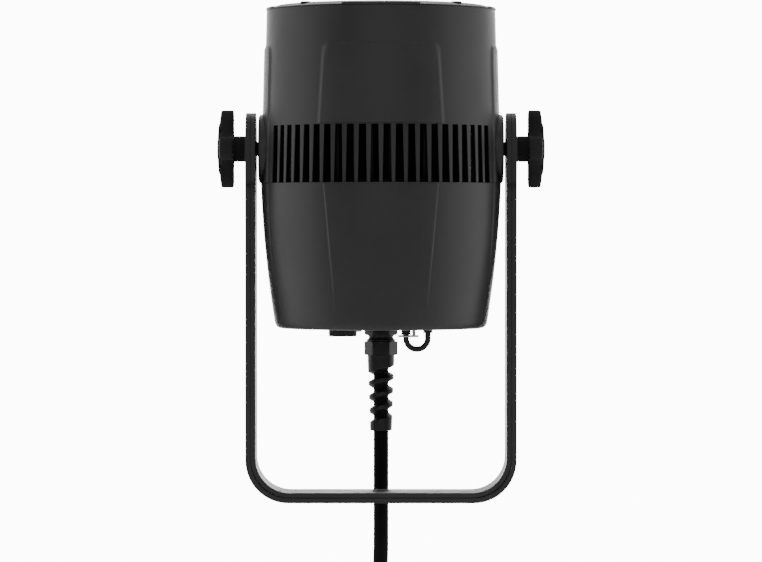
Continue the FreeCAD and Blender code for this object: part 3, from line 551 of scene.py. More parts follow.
# ---- head housing
HEAD_TOP = 327.0
SPLIT_Z = 212.1
HEAD_BOTTOM = 115.7
TOP_RADIUS = 76.2
WAIST_RADIUS = 79.0
WALL = 3.0
SEAM = 0.12
VENT_TOP = 249.7
VENT_COUNT = 22
VENT_PITCH = 5.88
OUTER_VENT_EXTRA = 0.65
VENT_HALF_TOP = 1.7
VENT_HALF_BOTTOM = 2.15
PAD_RISE = 1.0
PAD_BEVEL = 3.2
LOWER_PAD_BEVEL = 1.2
PAD_CORNER = 6.5
PAD_LOW = 250.0
PAD_LOW_BEVEL = 0.6
PAD_TOP = 303.7
PAD_BOTTOM = 134.0
FADE_END = 122.0
FAR_INSIDE = 99.0
PANEL_REACH = 20.0
LEAST_SLOPE = 0.4


def arc_through(a, b, c):
    """Centre and radius of the circle through three points in a plane."""
    ax, ay = a
    bx, by = b
    cx, cy = c
    d = 2.0 * (ax * (by - cy) + bx * (cy - ay) + cx * (ay - by))
    sa, sb, sc = ax * ax + ay * ay, bx * bx + by * by, cx * cx + cy * cy
    x = (sa * (by - cy) + sb * (cy - ay) + sc * (ay - by)) / d
    y = (sa * (cx - bx) + sb * (ax - cx) + sc * (bx - ax)) / d
    return x, y, math.hypot(ax - x, ay - y)


BULGE_X, BULGE_Z, BULGE_RADIUS = arc_through((79.0, 212.1), (75.9, 161.0), (71.0, 120.5))


def head_radius(z):
    if z >= SPLIT_Z:
        return WAIST_RADIUS + (TOP_RADIUS - WAIST_RADIUS) * (z - SPLIT_Z) / (HEAD_TOP - SPLIT_Z)
    return BULGE_X + math.sqrt(BULGE_RADIUS ** 2 - (z - BULGE_Z) ** 2)


def panel_rise(inside_side, inside_low, inside_top, upper):
    """Share of a raised panel's height at a point that far inside its side, low and top edges."""
    if not upper:
        return smoothstep(inside_side / LOWER_PAD_BEVEL) * smoothstep(inside_top / PAD_LOW_BEVEL)
    if inside_side < PAD_CORNER and inside_top < PAD_CORNER:
        inside = PAD_CORNER - math.hypot(PAD_CORNER - inside_side, PAD_CORNER - inside_top)
    else:
        inside = min(inside_side, inside_top)
    return smoothstep(inside / PAD_BEVEL) * smoothstep(inside_low / PAD_LOW_BEVEL)


def pad_half_width(z):
    """Half width of the front and back panels."""
    if z >= SPLIT_Z:
        return between(z, PAD_LOW, PAD_TOP, 41.7, 38.4)
    return between(z, PAD_BOTTOM, SPLIT_Z, 30.9, 37.7)


def cheek_half_width(z):
    """Half width of the panels on the sides."""
    return between(z, PAD_BOTTOM, SPLIT_Z, 23.1, 27.0)


def head_point(degrees, z):
    """A point of the head's outer surface, at an angle from the front, with its raised panels."""
    angle = math.radians(degrees)
    radius = head_radius(z)
    across = abs(math.sin(angle)) * radius
    along = abs(math.cos(angle)) * radius
    upper = z >= SPLIT_Z
    low = z - PAD_LOW if upper else FAR_INSIDE
    top = (PAD_TOP if upper else SPLIT_Z - PAD_LOW_BEVEL) - z
    full = PAD_RISE if upper else PAD_RISE * between(z, FADE_END, SPLIT_Z, 0.0, 1.0)
    rise = 0.0
    if along > PANEL_REACH:
        slope = max(along / radius, LEAST_SLOPE)
        rise = panel_rise((pad_half_width(z) - across) / slope, low, top, upper)
    if across > PANEL_REACH:
        cheek_top = top if upper else FAR_INSIDE
        slope = max(across / radius, LEAST_SLOPE)
        cheek = panel_rise((cheek_half_width(z) - along) / slope, FAR_INSIDE, cheek_top, upper)
        rise = max(rise, cheek)
    radius += rise * full
    return radius * math.sin(angle), -radius * math.cos(angle), z


def vent_columns():
    """Column angles from the front for half the upper housing, as (at the split, above the vents).

    They stand closer at the edges of the front and back panels.
    """
    columns = []
    slots = []
    edge = None
    for k in range(VENT_COUNT):
        centre = (k - (VENT_COUNT - 1) / 2.0) * VENT_PITCH
        extra = 0.0
        if k in (0, VENT_COUNT - 1):
            extra = OUTER_VENT_EXTRA
            centre += math.copysign(extra, centre)
        low, high = VENT_HALF_BOTTOM + extra, VENT_HALF_TOP + extra
        if edge:
            rib_cells = 8 if 24.0 < abs(centre - VENT_PITCH / 2.0) < 36.0 else 3
            columns += column_steps(edge, (centre - low, centre - high), rib_cells)
        slot_cells = 9 if 26.0 < abs(centre) < 34.0 else 3
        slots.append((len(columns), len(columns) + slot_cells))
        edge = (centre + low, centre + high)
        columns += column_steps((centre - low, centre - high), edge, slot_cells)
    columns.append(edge)
    side = spaced(66.0, 68.2, 1.1) + spaced(68.6, 72.6, 0.36) + spaced(74.0, 106.0, 2.0)
    side += spaced(107.4, 111.4, 0.36) + spaced(111.8, 114.0, 1.1)[:-1]
    columns += [(a, a) for a in side]
    return columns, slots


def column_steps(start, end, cells):
    """Column angle pairs from start up to the one before end."""
    return list(zip(divided(start[0], end[0], cells), divided(start[1], end[1], cells)))[:-1]


def upper_shell():
    half, slots = vent_columns()
    columns = half + [(a + 180.0, b + 180.0) for a, b in half]
    count = len(columns)
    slots = slots + [(a + len(half), b + len(half)) for a, b in slots]
    open_cells = {i for start, end in slots for i in range(start, end)}
    vent_rows = [SPLIT_Z + SEAM] + spaced(214.0, VENT_TOP, 4.4)
    rows = vent_rows + spaced(PAD_LOW, 250.8, 0.2) + [252.0] + spaced(257.0, 300.0, 4.0)
    rows += spaced(300.8, PAD_TOP, 0.36) + spaced(305.5, HEAD_TOP - 0.3, 4.4)
    rings = []
    for z in rows:
        share = min((z - SPLIT_Z) / (VENT_TOP - SPLIT_Z), 1.0)
        rings.append([head_point(low + (high - low) * share, z) for low, high in columns])
    vertices, faces = skin(rings, False, False)
    vent_faces = (len(vent_rows) - 1) * count
    return vertices, [f for i, f in enumerate(faces) if i >= vent_faces or i % count not in open_cells]


def panel_columns(z):
    """Column angles from the front for one quarter, crowded at the panel edges at that height."""
    radius = head_radius(z)
    pad = math.degrees(math.asin(pad_half_width(z) / radius))
    cheek = 90.0 - math.degrees(math.asin(cheek_half_width(z) / radius))
    millimetre = math.degrees(1.0 / radius)
    edge = [-3.4, -2.6, -2.2, -1.9, -1.6, -1.3, -1.0, -0.7, -0.4, -0.1, 0.4, 1.2]
    at_pad = [pad + e * millimetre for e in edge]
    at_cheek = [cheek - e * millimetre for e in reversed(edge)]
    angles = divided(0.0, at_pad[0], 11)[:-1] + at_pad + divided(at_pad[-1], at_cheek[0], 18)[1:-1]
    return angles + at_cheek + divided(at_cheek[-1], 90.0, 8)[1:-1]


def all_round(quarter):
    """Angles all round the head from those of one quarter."""
    half = quarter + [90.0] + [180.0 - a for a in reversed(quarter)]
    return half[:-1] + [180.0 + a for a in half[:-1]]


BASE_PROFILE = [(70.6, 118.9), (70.0, 117.6), (69.1, 116.6), (67.9, 115.95)]
BASE_PROFILE += [(radius, HEAD_BOTTOM) for radius in (66.4, 60.0, 45.0, 30.0, 15.0, 4.0)]


def lower_shell():
    rows = [SPLIT_Z - SEAM, 211.7, 211.3, 210.9, 210.5, 210.0, 209.4, 208.6] + spaced(206.0, 120.5, 3.4)
    rings = [[head_point(a, z) for a in all_round(panel_columns(max(z, PAD_BOTTOM)))] for z in rows]
    angles = [math.radians(a - 90.0) for a in all_round(panel_columns(PAD_BOTTOM))]
    rings += [[polar(radius, a, z) for a in angles] for radius, z in BASE_PROFILE]
    return skin(rings, False, True)


def face_away(obj, z):
    """Turns the whole surface so that its faces look away from a point on the axis, in millimetres."""
    inside = Vector((0.0, 0.0, z)) * MM
    mesh = obj.data
    looking = sum(p.normal.dot(p.center - inside) * p.area for p in mesh.polygons)
    if looking < 0:
        mesh.flip_normals()


for name, part, middle in (("upper", upper_shell(), 270.0), ("lower", lower_shell(), 170.0)):
    shell = build(name + "_shell", part, "head", 50.0, "housing_paint", name + "_housing")
    face_away(shell, middle)
    walled(shell, WALL)
    bevelled(shell, 0.35, 55.0)

LIP_PROFILE = [(74.5, 206.0), (74.5, 214.1), (74.8, 214.4), (75.3, 214.4), (75.6, 214.1), (75.6, 206.0)]
build("split_lip", ring_lathe(LIP_PROFILE, 160), "head", 38.0, "housing_paint", "lower_housing", 0.01)

# ---- pivot bosses
BOSS_FACE = 81.4
BOSS_RADIUS = 23.0
BOSS_ROUND = 2.1
boss_profile = [(8.1, 68.0), (8.1, BOSS_FACE - 0.4), (8.5, BOSS_FACE), (BOSS_RADIUS - BOSS_ROUND, BOSS_FACE)]
for angle in divided(0.0, math.pi / 2.0, 8)[1:]:
    along, across = polar(BOSS_ROUND, angle)
    boss_profile.append((BOSS_RADIUS - BOSS_ROUND + across, BOSS_FACE - BOSS_ROUND + along))
boss_profile += [(BOSS_RADIUS, 74.0), (BOSS_RADIUS, 68.0)]
SIDES = (("left", -1), ("right", 1))
for word, side in SIDES:
    boss = moved(ring_lathe(boss_profile), outward(side))
    build("pivot_boss_" + word, boss, "head", 38.0, "housing_paint", "upper_housing", 0.01)

# ---- front ring
TAB_HALF = 19.6
BEZEL_FACE = [(66.2, 316.5), (66.2, 325.0), (62.3, 325.0), (62.0, 325.3), (62.0, 326.7), (62.3, 327.2),
              (65.2, 329.5), (65.8, 329.8), (69.6, 329.8), (70.2, 329.65), (71.6, 329.15)]
PLAIN_EDGE = [(73.5, 328.5), (75.5, 327.8), (76.15, 327.5), (76.2, 327.2), (76.2, 327.0)]
TAB_EDGE = [(72.7, 328.75), (75.7, 328.7), (76.35, 328.5), (76.5, 328.1), (76.6, 327.0)]
BEZEL_BACK = [(72.6, 327.0), (72.6, 316.5)]


def bezel_part():
    edge = [TAB_HALF + d for d in (-0.7, -0.45, -0.2, 0.0, 0.2, 0.45)]
    around = []
    for centre in (0.0, 90.0, 180.0, 270.0):
        around += [centre - a for a in reversed(edge)] + spaced(centre - 18.0, centre + 18.0, 2.0)
        around += [centre + a for a in edge] + spaced(centre + 22.0, centre + 68.0, 2.0)
    plain = BEZEL_FACE + PLAIN_EDGE + BEZEL_BACK
    tab = BEZEL_FACE + TAB_EDGE + BEZEL_BACK
    rings = []
    for (r0, z0), (r1, z1) in zip(plain, tab):
        ring = []
        for a in around:
            off = abs((a + 45.0) % 90.0 - 45.0)
            share = smoothstep((TAB_HALF + 0.3 - off) / 0.8)
            ring.append(polar(r0 + (r1 - r0) * share, math.radians(a), z0 + (z1 - z0) * share))
        rings.append(ring)
    return closed_skin(rings)


build("front_ring", bezel_part(), "head", 30.0, "bezel_paint", "front_bezel", 0.01)


def socket_head(radius, height, across):
    """A cap screw's head standing on z 0, with a chamfered rim and a hexagonal socket."""
    floor_z = 0.4 * height
    rings = circles([(radius - 0.1, 0.0), (radius, 0.15), (radius, height - 0.45),
                     (radius - 0.12, height - 0.15), (radius - 0.45, height), (across * 0.62, height)], 48)
    rings += hexagons([(across * 1.02, height - 0.12, 0.0), (across, height - 0.3, 0.0),
                       (across, floor_z, 0.0)])
    rings += circles([(across * 0.2, floor_z - 0.35)], 48)
    return skin(rings)


SCREW_CIRCLE = 69.5
SCREW_SEAT = 327.3
heads = []
for angle in (45, 135, 225, 315):
    place = at(*polar(SCREW_CIRCLE, math.radians(angle), SCREW_SEAT))
    heads.append(moved(socket_head(3.5, 3.0, 3.0), place))
build("ring_screws", merge(heads), "head", 30.0, "black_steel", "bezel_screws")

glass_profile = [(0.0, 321.0), (30.0, 321.0), (65.4, 321.0), (65.8, 321.4), (65.8, 324.6), (65.4, 325.0),
                 (30.0, 325.0), (0.0, 325.0)]
build("front_window", lathe(glass_profile, 128), "head", 38.0, "clear_glass", "front_glass")

LENS_RADIUS = 60.0
LENS_RISE = 9.0
LENS_TOP = 317.5
LENS_BALL = (LENS_RADIUS ** 2 + LENS_RISE ** 2) / (2.0 * LENS_RISE)
lens_profile = [(0.0, 306.0), (40.0, 306.0), (59.5, 306.0), (59.9, 306.4), (59.9, 308.4)]
for step in range(1, 25):
    radius = 59.6 * (1.0 - step / 24.0)
    lens_profile.append((radius, LENS_TOP - LENS_BALL + math.sqrt(LENS_BALL ** 2 - radius ** 2)))
build("condenser_lens", lathe(lens_profile, 128), "head", 38.0, "lens_glass", "lens")

# ---- yoke plates
HALF_SPAN = 89.8
OUTER_PLATE = 3.4
INNER_PLATE = 3.1
INNER_INSET = 3.5
FOOT_GAP = 0.25
CORNER_RADIUS = 28.5
CORNER_GAP = 1.0
ARM_END = 24.0
BAR_HALF = 20.0
TAPER_START = 175.0
PIVOT_HOLE = 4.2
FOOT_HOLE = 6.5
ARM_PATCH_LOW = 211.0
ARM_PATCH_ROWS = [215.0, 219.0, 223.0, 227.0, 231.0]
ACROSS = 8


def arm_half_width(z):
    return between(z, TAPER_START, PIVOT_Z, BAR_HALF, ARM_END)


def loft_to_hole(outline, centre_u, radius):
    """Rings from a round hole out to an outline that surrounds it, in the flat pattern."""
    rings = []
    for share in (0.0, 0.06, 0.25, 0.6, 1.0):
        ring = []
        for u, v in outline:
            hole_u, hole_v = polar(radius, math.atan2(v, u - centre_u))
            hole_u += centre_u
            ring.append((hole_u + (u - hole_u) * share, hole_v + (v - hole_v) * share, 0.0))
        rings.append(ring)
    return skin(rings, False, False)


def arm_end_patch():
    """The round end of an arm and its pivot hole: u is the height, v the width."""
    low = arm_half_width(ARM_PATCH_LOW)
    outline = [(ARM_PATCH_LOW, v) for v in divided(-low, low, ACROSS)]
    outline += [(z, arm_half_width(z)) for z in ARM_PATCH_ROWS]
    for angle in divided(0.0, math.pi, 32):
        v, u = polar(ARM_END, angle)
        outline.append((PIVOT_Z + u, v))
    outline += [(z, -arm_half_width(z)) for z in reversed(ARM_PATCH_ROWS)]
    return loft_to_hole(outline, PIVOT_Z, PIVOT_HOLE)


def foot_patch():
    """The middle of the foot bar and its mounting hole: u runs along the bar."""
    steps = divided(-BAR_HALF, BAR_HALF, ACROSS)
    outline = [(s, -BAR_HALF) for s in steps] + [(BAR_HALF, s) for s in steps[1:]]
    outline += [(s, BAR_HALF) for s in reversed(steps[:-1])]
    outline += [(-BAR_HALF, s) for s in reversed(steps[1:-1])]
    fine = []
    for (u0, v0), (u1, v1) in zip(outline, outline[1:] + outline[:1]):
        fine += [(u0, v0), ((u0 + u1) / 2.0, (v0 + v1) / 2.0)]
    return loft_to_hole(fine, 0.0, FOOT_HOLE)


def strip(places):
    """Cross rows over the plate: each place is (position, half width)."""
    rows = [[(u, v, 0.0) for v in divided(-half, half, 2 * ACROSS)] for u, half in places]
    return skin(rows, False, False, False)


def bracket_part(inset, underside, corner):
    """One bent plate's outer surface: in by inset at its arms, up by underside, round at its corners."""
    half_x = HALF_SPAN - inset
    centre_x = half_x - corner
    centre_z = underside + corner
    arm_rows = spaced(ARM_PATCH_LOW, TAPER_START, 6.0) + spaced(TAPER_START, centre_z, 9.0)[1:]
    bend_rows = divided(0.0, math.pi / 2.0, 18)
    parts = []
    for s in (-1, 1):
        def upright(u, v, w):
            return s * half_x, v, u

        def bend(u, v, w):
            return s * (centre_x + corner * math.cos(u)), v, centre_z - corner * math.sin(u)

        parts.append(moved(arm_end_patch(), upright))
        parts.append(moved(strip([(z, arm_half_width(z)) for z in arm_rows]), upright))
        parts.append(moved(strip([(a, BAR_HALF) for a in bend_rows]), bend))
        foot_rows = strip([(x, BAR_HALF) for x in spaced(centre_x, BAR_HALF, 8.0)])
        parts.append(moved(foot_rows, lambda u, v, w: (s * u, v, underside)))
    parts.append(moved(foot_patch(), lambda u, v, w: (u, v, underside)))
    return merge(parts)


INNER_CORNER = CORNER_RADIUS - INNER_INSET + CORNER_GAP
for name, body, plate_shape, thickness in (
        ("outer", "yoke", (0.0, 0.0, CORNER_RADIUS), OUTER_PLATE),
        ("inner", "stand_bracket", (INNER_INSET, INNER_INSET + FOOT_GAP, INNER_CORNER), INNER_PLATE)):
    plate = bracket_part(*plate_shape)
    plate = build(name + "_yoke", plate, body, 50.0, "bracket_paint", name + "_bracket", 0.02)
    face_away(plate, 150.0)
    plate.data.shade_smooth()
    walled(plate, thickness)
    bevelled(plate, 0.2, 45.0)

# ---- star knobs
KNOB_RADIUS = 25.75
LOBE_RADIUS = 7.7
VALLEY_RADIUS = 8.13
VALLEY_DEPTH = 14.0
KNOB_BACK = 98.0
CAP_HOLE = 6.6
CROWN_TOP = 108.15
CROWN_DROP = 1.8
RIB_COUNT = 28
LONG_RIB = 16.6
SHORT_RIB = 12.6


def star(offset):
    """The knob's outline, moved inwards by offset."""
    lobe = KNOB_RADIUS - LOBE_RADIUS
    valley = VALLEY_DEPTH + VALLEY_RADIUS
    valley_x = valley * math.cos(math.pi / 4.0)
    joint = math.atan2(valley_x, valley_x - lobe)
    opening = joint - math.pi / 4.0
    points = []
    for quarter in range(4):
        turn = math.pi / 2.0 * quarter
        for i in range(25):
            x, y = polar(LOBE_RADIUS - offset, -joint + 2.0 * joint * i / 24.0)
            points.append(turned(lobe + x, y, turn))
        for i in range(1, 10):
            x, y = polar(VALLEY_RADIUS + offset, opening - 2.0 * opening * i / 10.0)
            points.append(turned(valley - x, -y, turn + math.pi / 4.0))
    return points


def dome(radius):
    """Height of the knob's crowned face."""
    return CROWN_TOP - CROWN_DROP * (radius / KNOB_RADIUS) ** 2


KNOB_STEM = [(4.05, 105.5), (4.05, 91.5), (4.3, 91.32), (8.1, 91.32), (8.45, 91.5), (8.55, 91.8),
             (8.55, 98.0), (8.7, 98.4), (9.1, 98.6), (11.9, 98.6), (12.4, 98.1), (12.7, KNOB_BACK)]
KNOB_EDGE = [(1.15, KNOB_BACK), (0.6, 98.12), (0.2, 98.45), (0.0, 99.0), (0.0, 102.5), (0.0, 105.2),
             (0.1, 105.75), (0.4, 106.2), (0.85, 106.5)]


def knob_part():
    around = [math.atan2(b, a) for a, b in star(0.0)]
    rings = [[polar(radius, angle, x) for angle in around] for radius, x in KNOB_STEM]
    rings += [[(a, b, x) for a, b in star(offset)] for offset, x in KNOB_EDGE]
    for share in (0.0, 0.12, 0.3, 0.5, 0.7, 0.86, 0.95, 1.0):
        ring = []
        for a, b in star(1.4):
            hole_a, hole_b = polar(CAP_HOLE + 0.15, math.atan2(b, a))
            x = a + (hole_a - a) * share
            y = b + (hole_b - b) * share
            drop = 0.12 if share in (0.0, 1.0) else 0.0
            ring.append((x, y, dome(math.hypot(x, y)) - drop))
        rings.append(ring)
    rings += [[polar(CAP_HOLE, angle, x) for angle in around] for x in (107.8, 107.42)]
    return skin(rings)


def rib_part(angle):
    """One raised grip rib on the knob's face, from near the cap to the rim, shorter in the valleys."""
    quarter_off = abs((math.degrees(angle) + 45.0) % 90.0 - 45.0)
    reach = LONG_RIB if quarter_off < 33.0 else SHORT_RIB
    rings = []
    rows = [(8.3, -0.3, 0.5), (8.5, 0.4, 0.6), (9.0, 0.55, 0.62), (11.5, 0.6, 0.7)]
    rows += [(reach - 0.7, 0.6, 0.78), (reach - 0.15, 0.4, 0.75), (reach, -0.3, 0.65)]
    for radius, rise, half in rows:
        section = [(-half, -0.35), (-half, 0.55 * rise), (-0.55 * half, rise), (0.55 * half, rise),
                   (half, 0.55 * rise), (half, -0.35)]
        rings.append([(*turned(radius, across, angle), dome(radius) + up) for across, up in section])
    return skin(rings)


cap_profile = [(0.0, 107.42), (6.5, 107.42), (6.5, 108.6), (6.38, 108.85), (6.0, 108.97), (5.7, 108.85),
               (5.5, 108.8), (3.0, 108.95), (0.0, 109.0)]
washer_profile = [(6.0, 89.82), (8.55, 89.82), (8.55, 91.3), (4.1, 91.3), (4.1, 89.82), (6.0, 89.82)]
washer_part = ring_lathe(round_profile(washer_profile, 0.3)[:-1], 64)
half_rib = math.pi / RIB_COUNT
knob_whole = merge([knob_part()] + [rib_part(angle + half_rib) for angle in directions(RIB_COUNT)])
for word, side in SIDES:
    for name, part, body, slot, node, weld_mm in (
            ("star_knob_", knob_whole, "knob_", "knob_plastic", "knob_", 0.001),
            ("star_cap_", lathe(cap_profile, 64), "knob_", "knob_plastic", "knob_cap_", 0.01),
            ("star_washer_", washer_part, "knob_washer_", "black_steel", "knob_washer_", 0.01)):
        part = moved(part, outward(side))
        build(name + word, part, body + word, 34.0, slot, node + word, weld_mm)


# ---- cable gland and strain relief
GLAND_Y = 28.0
HEX_FLATS = 19.6
RIB_PITCH = 9.1
RING_LINE = 50.2
CONE_LINE = 86.6
CONE_TOP = 96.2
SLEEVE_BOTTOM = 45.8
SLEEVE_RADIUS = 7.35
SLEEVE_TAPER = 0.0353
AROUND = directions(96)

body_rings = circles([(8.3, 101.7), (8.5, 102.0)], 48)
body_rings += circles([(8.5 if step % 2 == 0 else 8.15, 102.6 + step * 0.55) for step in range(12)], 48)
body_rings += circles([(8.5, 109.4), (8.9, 110.1)], 48)
body_rings += hexagons([(HEX_FLATS, 110.2, 1.3), (HEX_FLATS, 110.55, 0.5), (HEX_FLATS, 111.0, 0.12),
                        (HEX_FLATS, 115.3, 0.12), (HEX_FLATS - 0.4, 115.68, 0.3)])
build("gland_base", moved(skin(body_rings), at(0.0, GLAND_Y)), "head", 30.0, "gland_plastic", "gland_body")


def sleeve_radius(z):
    return SLEEVE_RADIUS + SLEEVE_TAPER * (z - 45.5)


def sleeve_ring(height):
    """A ring on the sleeve's skin; height gives each angle's height."""
    return [polar(sleeve_radius(height(a)), a, height(a)) for a in AROUND]


def helix_line(base, angle):
    """Height of a line that climbs half a pitch round the front and falls back round the rear."""
    degrees = math.degrees(angle) % 360.0
    climb = (degrees - 180.0) if degrees >= 180.0 else (180.0 - degrees)
    return base + RIB_PITCH / 2.0 * climb / 180.0


def flank(line, direction):
    """Rings down a cut's sloping side, from the sleeve's skin to under the lead's surface."""
    rings = []
    for inset, step in ((0.0, 1.0), (0.12, 1.25), (0.4, 1.42)):
        ring = [(a, helix_line(line, a) + direction * step) for a in AROUND]
        rings.append([polar(sleeve_radius(z) - inset, a, z) for a, z in ring])
    for radius, step in ((5.25, 2.9), (4.7, 3.2)):
        rings.append([polar(radius, a, helix_line(line, a) + direction * step) for a in AROUND])
    return rings


def nut_part():
    rings = circles([(8.62, 108.2), (8.75, 107.6), (9.45, 107.4), (9.65, 107.15), (9.65, 106.3),
                     (9.3, 106.1)])
    rings += hexagons([(HEX_FLATS, 106.0, 0.5), (HEX_FLATS, 105.6, 0.1), (HEX_FLATS, 97.3, 0.1),
                       (HEX_FLATS, 96.9, 0.5)], 96)
    rings += circles([(9.5, 96.7), (9.2, 96.5), (9.12, CONE_TOP)])
    for share in (0.3, 0.65, 1.0):
        rings.append(sleeve_ring(lambda a: CONE_TOP + (helix_line(CONE_LINE, a) - 0.7 - CONE_TOP) * share))
    return skin(rings + flank(CONE_LINE, -1.0))


def end_ring_part():
    rings = list(reversed(flank(RING_LINE, 1.0)))
    for share in (0.4, 1.0):
        rings.append(sleeve_ring(lambda a: (helix_line(RING_LINE, a) + 0.7) * (1.0 - share) + 46.3 * share))
    rings += circles([(7.28, 45.95), (7.0, SLEEVE_BOTTOM), (5.5, SLEEVE_BOTTOM), (5.2, 46.1), (4.8, 46.6)])
    return skin(rings)


def spiral_rib():
    """The free turns between the cone and the end ring."""
    rings = []
    for degrees in spaced(60.0, 1740.0, 5.0):
        angle = math.radians(degrees)
        line = RING_LINE + RIB_PITCH * (degrees - 180.0) / 360.0
        skin_radius = sleeve_radius(line)
        upper_half = [(skin_radius, 0.95), (skin_radius - 0.1, 1.22), (skin_radius - 0.4, 1.42), (5.25, 2.9),
                      (4.7, 3.2)]
        section = [(r, -dz) for r, dz in reversed(upper_half)] + upper_half
        rings.append([polar(r, angle, line + dz) for r, dz in section])
    return skin(rings)


sleeve_part = moved(merge([nut_part(), end_ring_part(), spiral_rib()]), at(0.0, GLAND_Y))
build("gland_sleeve", sleeve_part, "head", 32.0, "gland_plastic", "gland_nut")

# ---- small parts under the head
BLANK_X, BLANK_Y = -25.3, -20.0
blank_profile = [(5.6, 111.3), (6.2, 110.95), (8.3, 110.75), (8.9, 110.68), (9.2, 110.95), (9.35, 111.4)]
blank_profile += [(9.35 if step % 2 else 9.23, 111.9 + step * 0.32) for step in range(9)]
blank_profile += [(9.25, 114.75), (8.9, 114.88)]
blank = moved(lathe(blank_profile, 64), at(BLANK_X, BLANK_Y))
build("blanking_cap", blank, "head", 30.0, "gland_plastic", "blanking_plug")

hanging_screw = moved(socket_head(3.6, 2.4, 3.0), lambda x, y, z: (x, -y, -z))
earth = moved(hanging_screw, at(-16.5, -8.5, HEAD_BOTTOM))
build("earth_bolt", earth, "head", 30.0, "bright_steel", "earth_screw")

EYE_X, EYE_Y, EYE_Z = 23.7, -25.0, 109.5
EYE_RADIUS = 7.2
WIRE_RADIUS = 1.9
NUT_BORE = 1.95
eye_path = [(EYE_X - EYE_RADIUS, z) for z in (115.5, 113.6, 111.9, 111.0)]
for angle in divided(math.pi, 2.0 * math.pi, 24):
    x, z = polar(EYE_RADIUS, angle)
    eye_path.append((EYE_X + x, EYE_Z + z))
eye_path += [(EYE_X + EYE_RADIUS, z) for z in (111.2, 113.1, 115.5)]
eye_part = tube_along([Vector((x, EYE_Y, z)) * MM for x, z in eye_path], WIRE_RADIUS * MM)
bevelled(build("safety_loop", eye_part, "head", 38.0, "black_steel", "safety_eye"), 0.2, 60.0)


def hex_nut(flats, z0, z1):
    """A nut with chamfered corners at both ends."""
    rings = circles([(NUT_BORE, z0), (flats * 0.46, z0)], 48)
    rings += hexagons([(flats, z0 + 0.25, 0.15), (flats, z1 - 0.25, 0.15)])
    rings += circles([(flats * 0.46, z1), (NUT_BORE, z1)], 48)
    return skin(rings, False, False)


nuts = []
for leg, low, high, rim, edge in ((-1, 111.9, 112.8, 3.4, 0.2), (1, 113.1, 113.7, 3.2, 0.15)):
    section = [(2.6, low), (rim, low), (rim, high), (NUT_BORE, high), (NUT_BORE, low), (2.6, low)]
    place = at(EYE_X + leg * EYE_RADIUS, EYE_Y)
    nuts.append(moved(ring_lathe(round_profile(section, edge)[:-1], 48), place))
    nuts.append(moved(hex_nut(5.6, high, HEAD_BOTTOM), place))
build("loop_nuts", merge(nuts), "head", 30.0, "black_steel", "safety_eye_nuts")

PIN_X, PIN_Y, PIN_Z = 11.2, -27.7, 111.0
pin_profile = [(0.0, 0.0), (0.45, 0.05), (0.7, 0.3), (0.75, 0.6), (0.75, 13.1), (0.7, 13.4), (0.45, 13.65),
               (0.0, 13.7)]
pin = moved(lathe(pin_profile, 24), lambda x, y, z: (PIN_X + z, PIN_Y + x, PIN_Z + y))
CORNERS = ((-1, -1), (1, -1), (1, 1), (-1, 1))
hanger = []
for z, half_x, half_y in ((110.6, 0.7, 0.6), (110.75, 1.0, 0.9), (111.4, 1.1, 1.0), (115.0, 1.1, 1.0)):
    hanger.append([(PIN_X + 10.5 + sx * half_x, PIN_Y + 0.4 + sy * half_y, z) for sx, sy in CORNERS])
build("loop_pin", merge([pin, skin(hanger)]), "head", 30.0, "bright_steel", "locking_pin")

# ---- strap round the coil
STRAP_ANGLE = math.radians(135.0)
STRAP_HALF = math.radians(7.5)
TONGUE_HALF = 0.9 * STRAP_HALF
STRAP_CELLS = 60
STRAND_RADIUS = 5.05
TONGUE_SPAN = (0.55, 0.86)


def strap_loop(angle, height, first=0.0, last=1.0):
    """The strap's line round the five strands, that high over them, at an angle round the coil."""
    phase = (angle - COIL_START) / COIL_STRANDS
    spacing = 2.0 * math.pi / COIL_STRANDS
    points = []
    for way in divided(2.0 * math.pi * first, 2.0 * math.pi * last, STRAP_CELLS):
        strand_out, strand_side = polar(COIL_STRAND_OFFSET, round((way - phase) / spacing) * spacing + phase)
        out, side = polar(STRAND_RADIUS + height, way)
        points.append(coil_spot(COIL_RADIUS + strand_out + out, strand_side + side, angle))
    return points


def strap_part():
    angles = divided(STRAP_ANGLE - STRAP_HALF, STRAP_ANGLE + STRAP_HALF, 8)
    rings = [strap_loop(a, 1.2)[:-1] for a in angles] + [strap_loop(a, 0.0)[:-1] for a in reversed(angles)]
    angles = divided(STRAP_ANGLE - TONGUE_HALF, STRAP_ANGLE + TONGUE_HALF, 8)
    tongue = [strap_loop(a, 2.1, *TONGUE_SPAN) for a in angles]
    tongue += [strap_loop(a, 1.1, *TONGUE_SPAN) for a in reversed(angles)]
    return merge([closed_skin(rings), skin([list(column) for column in zip(*tongue)])])


strap = build("lead_strap", strap_part(), "hanging_cord", 50.0, "tie_fabric", "cord_tie", 0.01)
bevelled(strap, 0.3, 50.0)

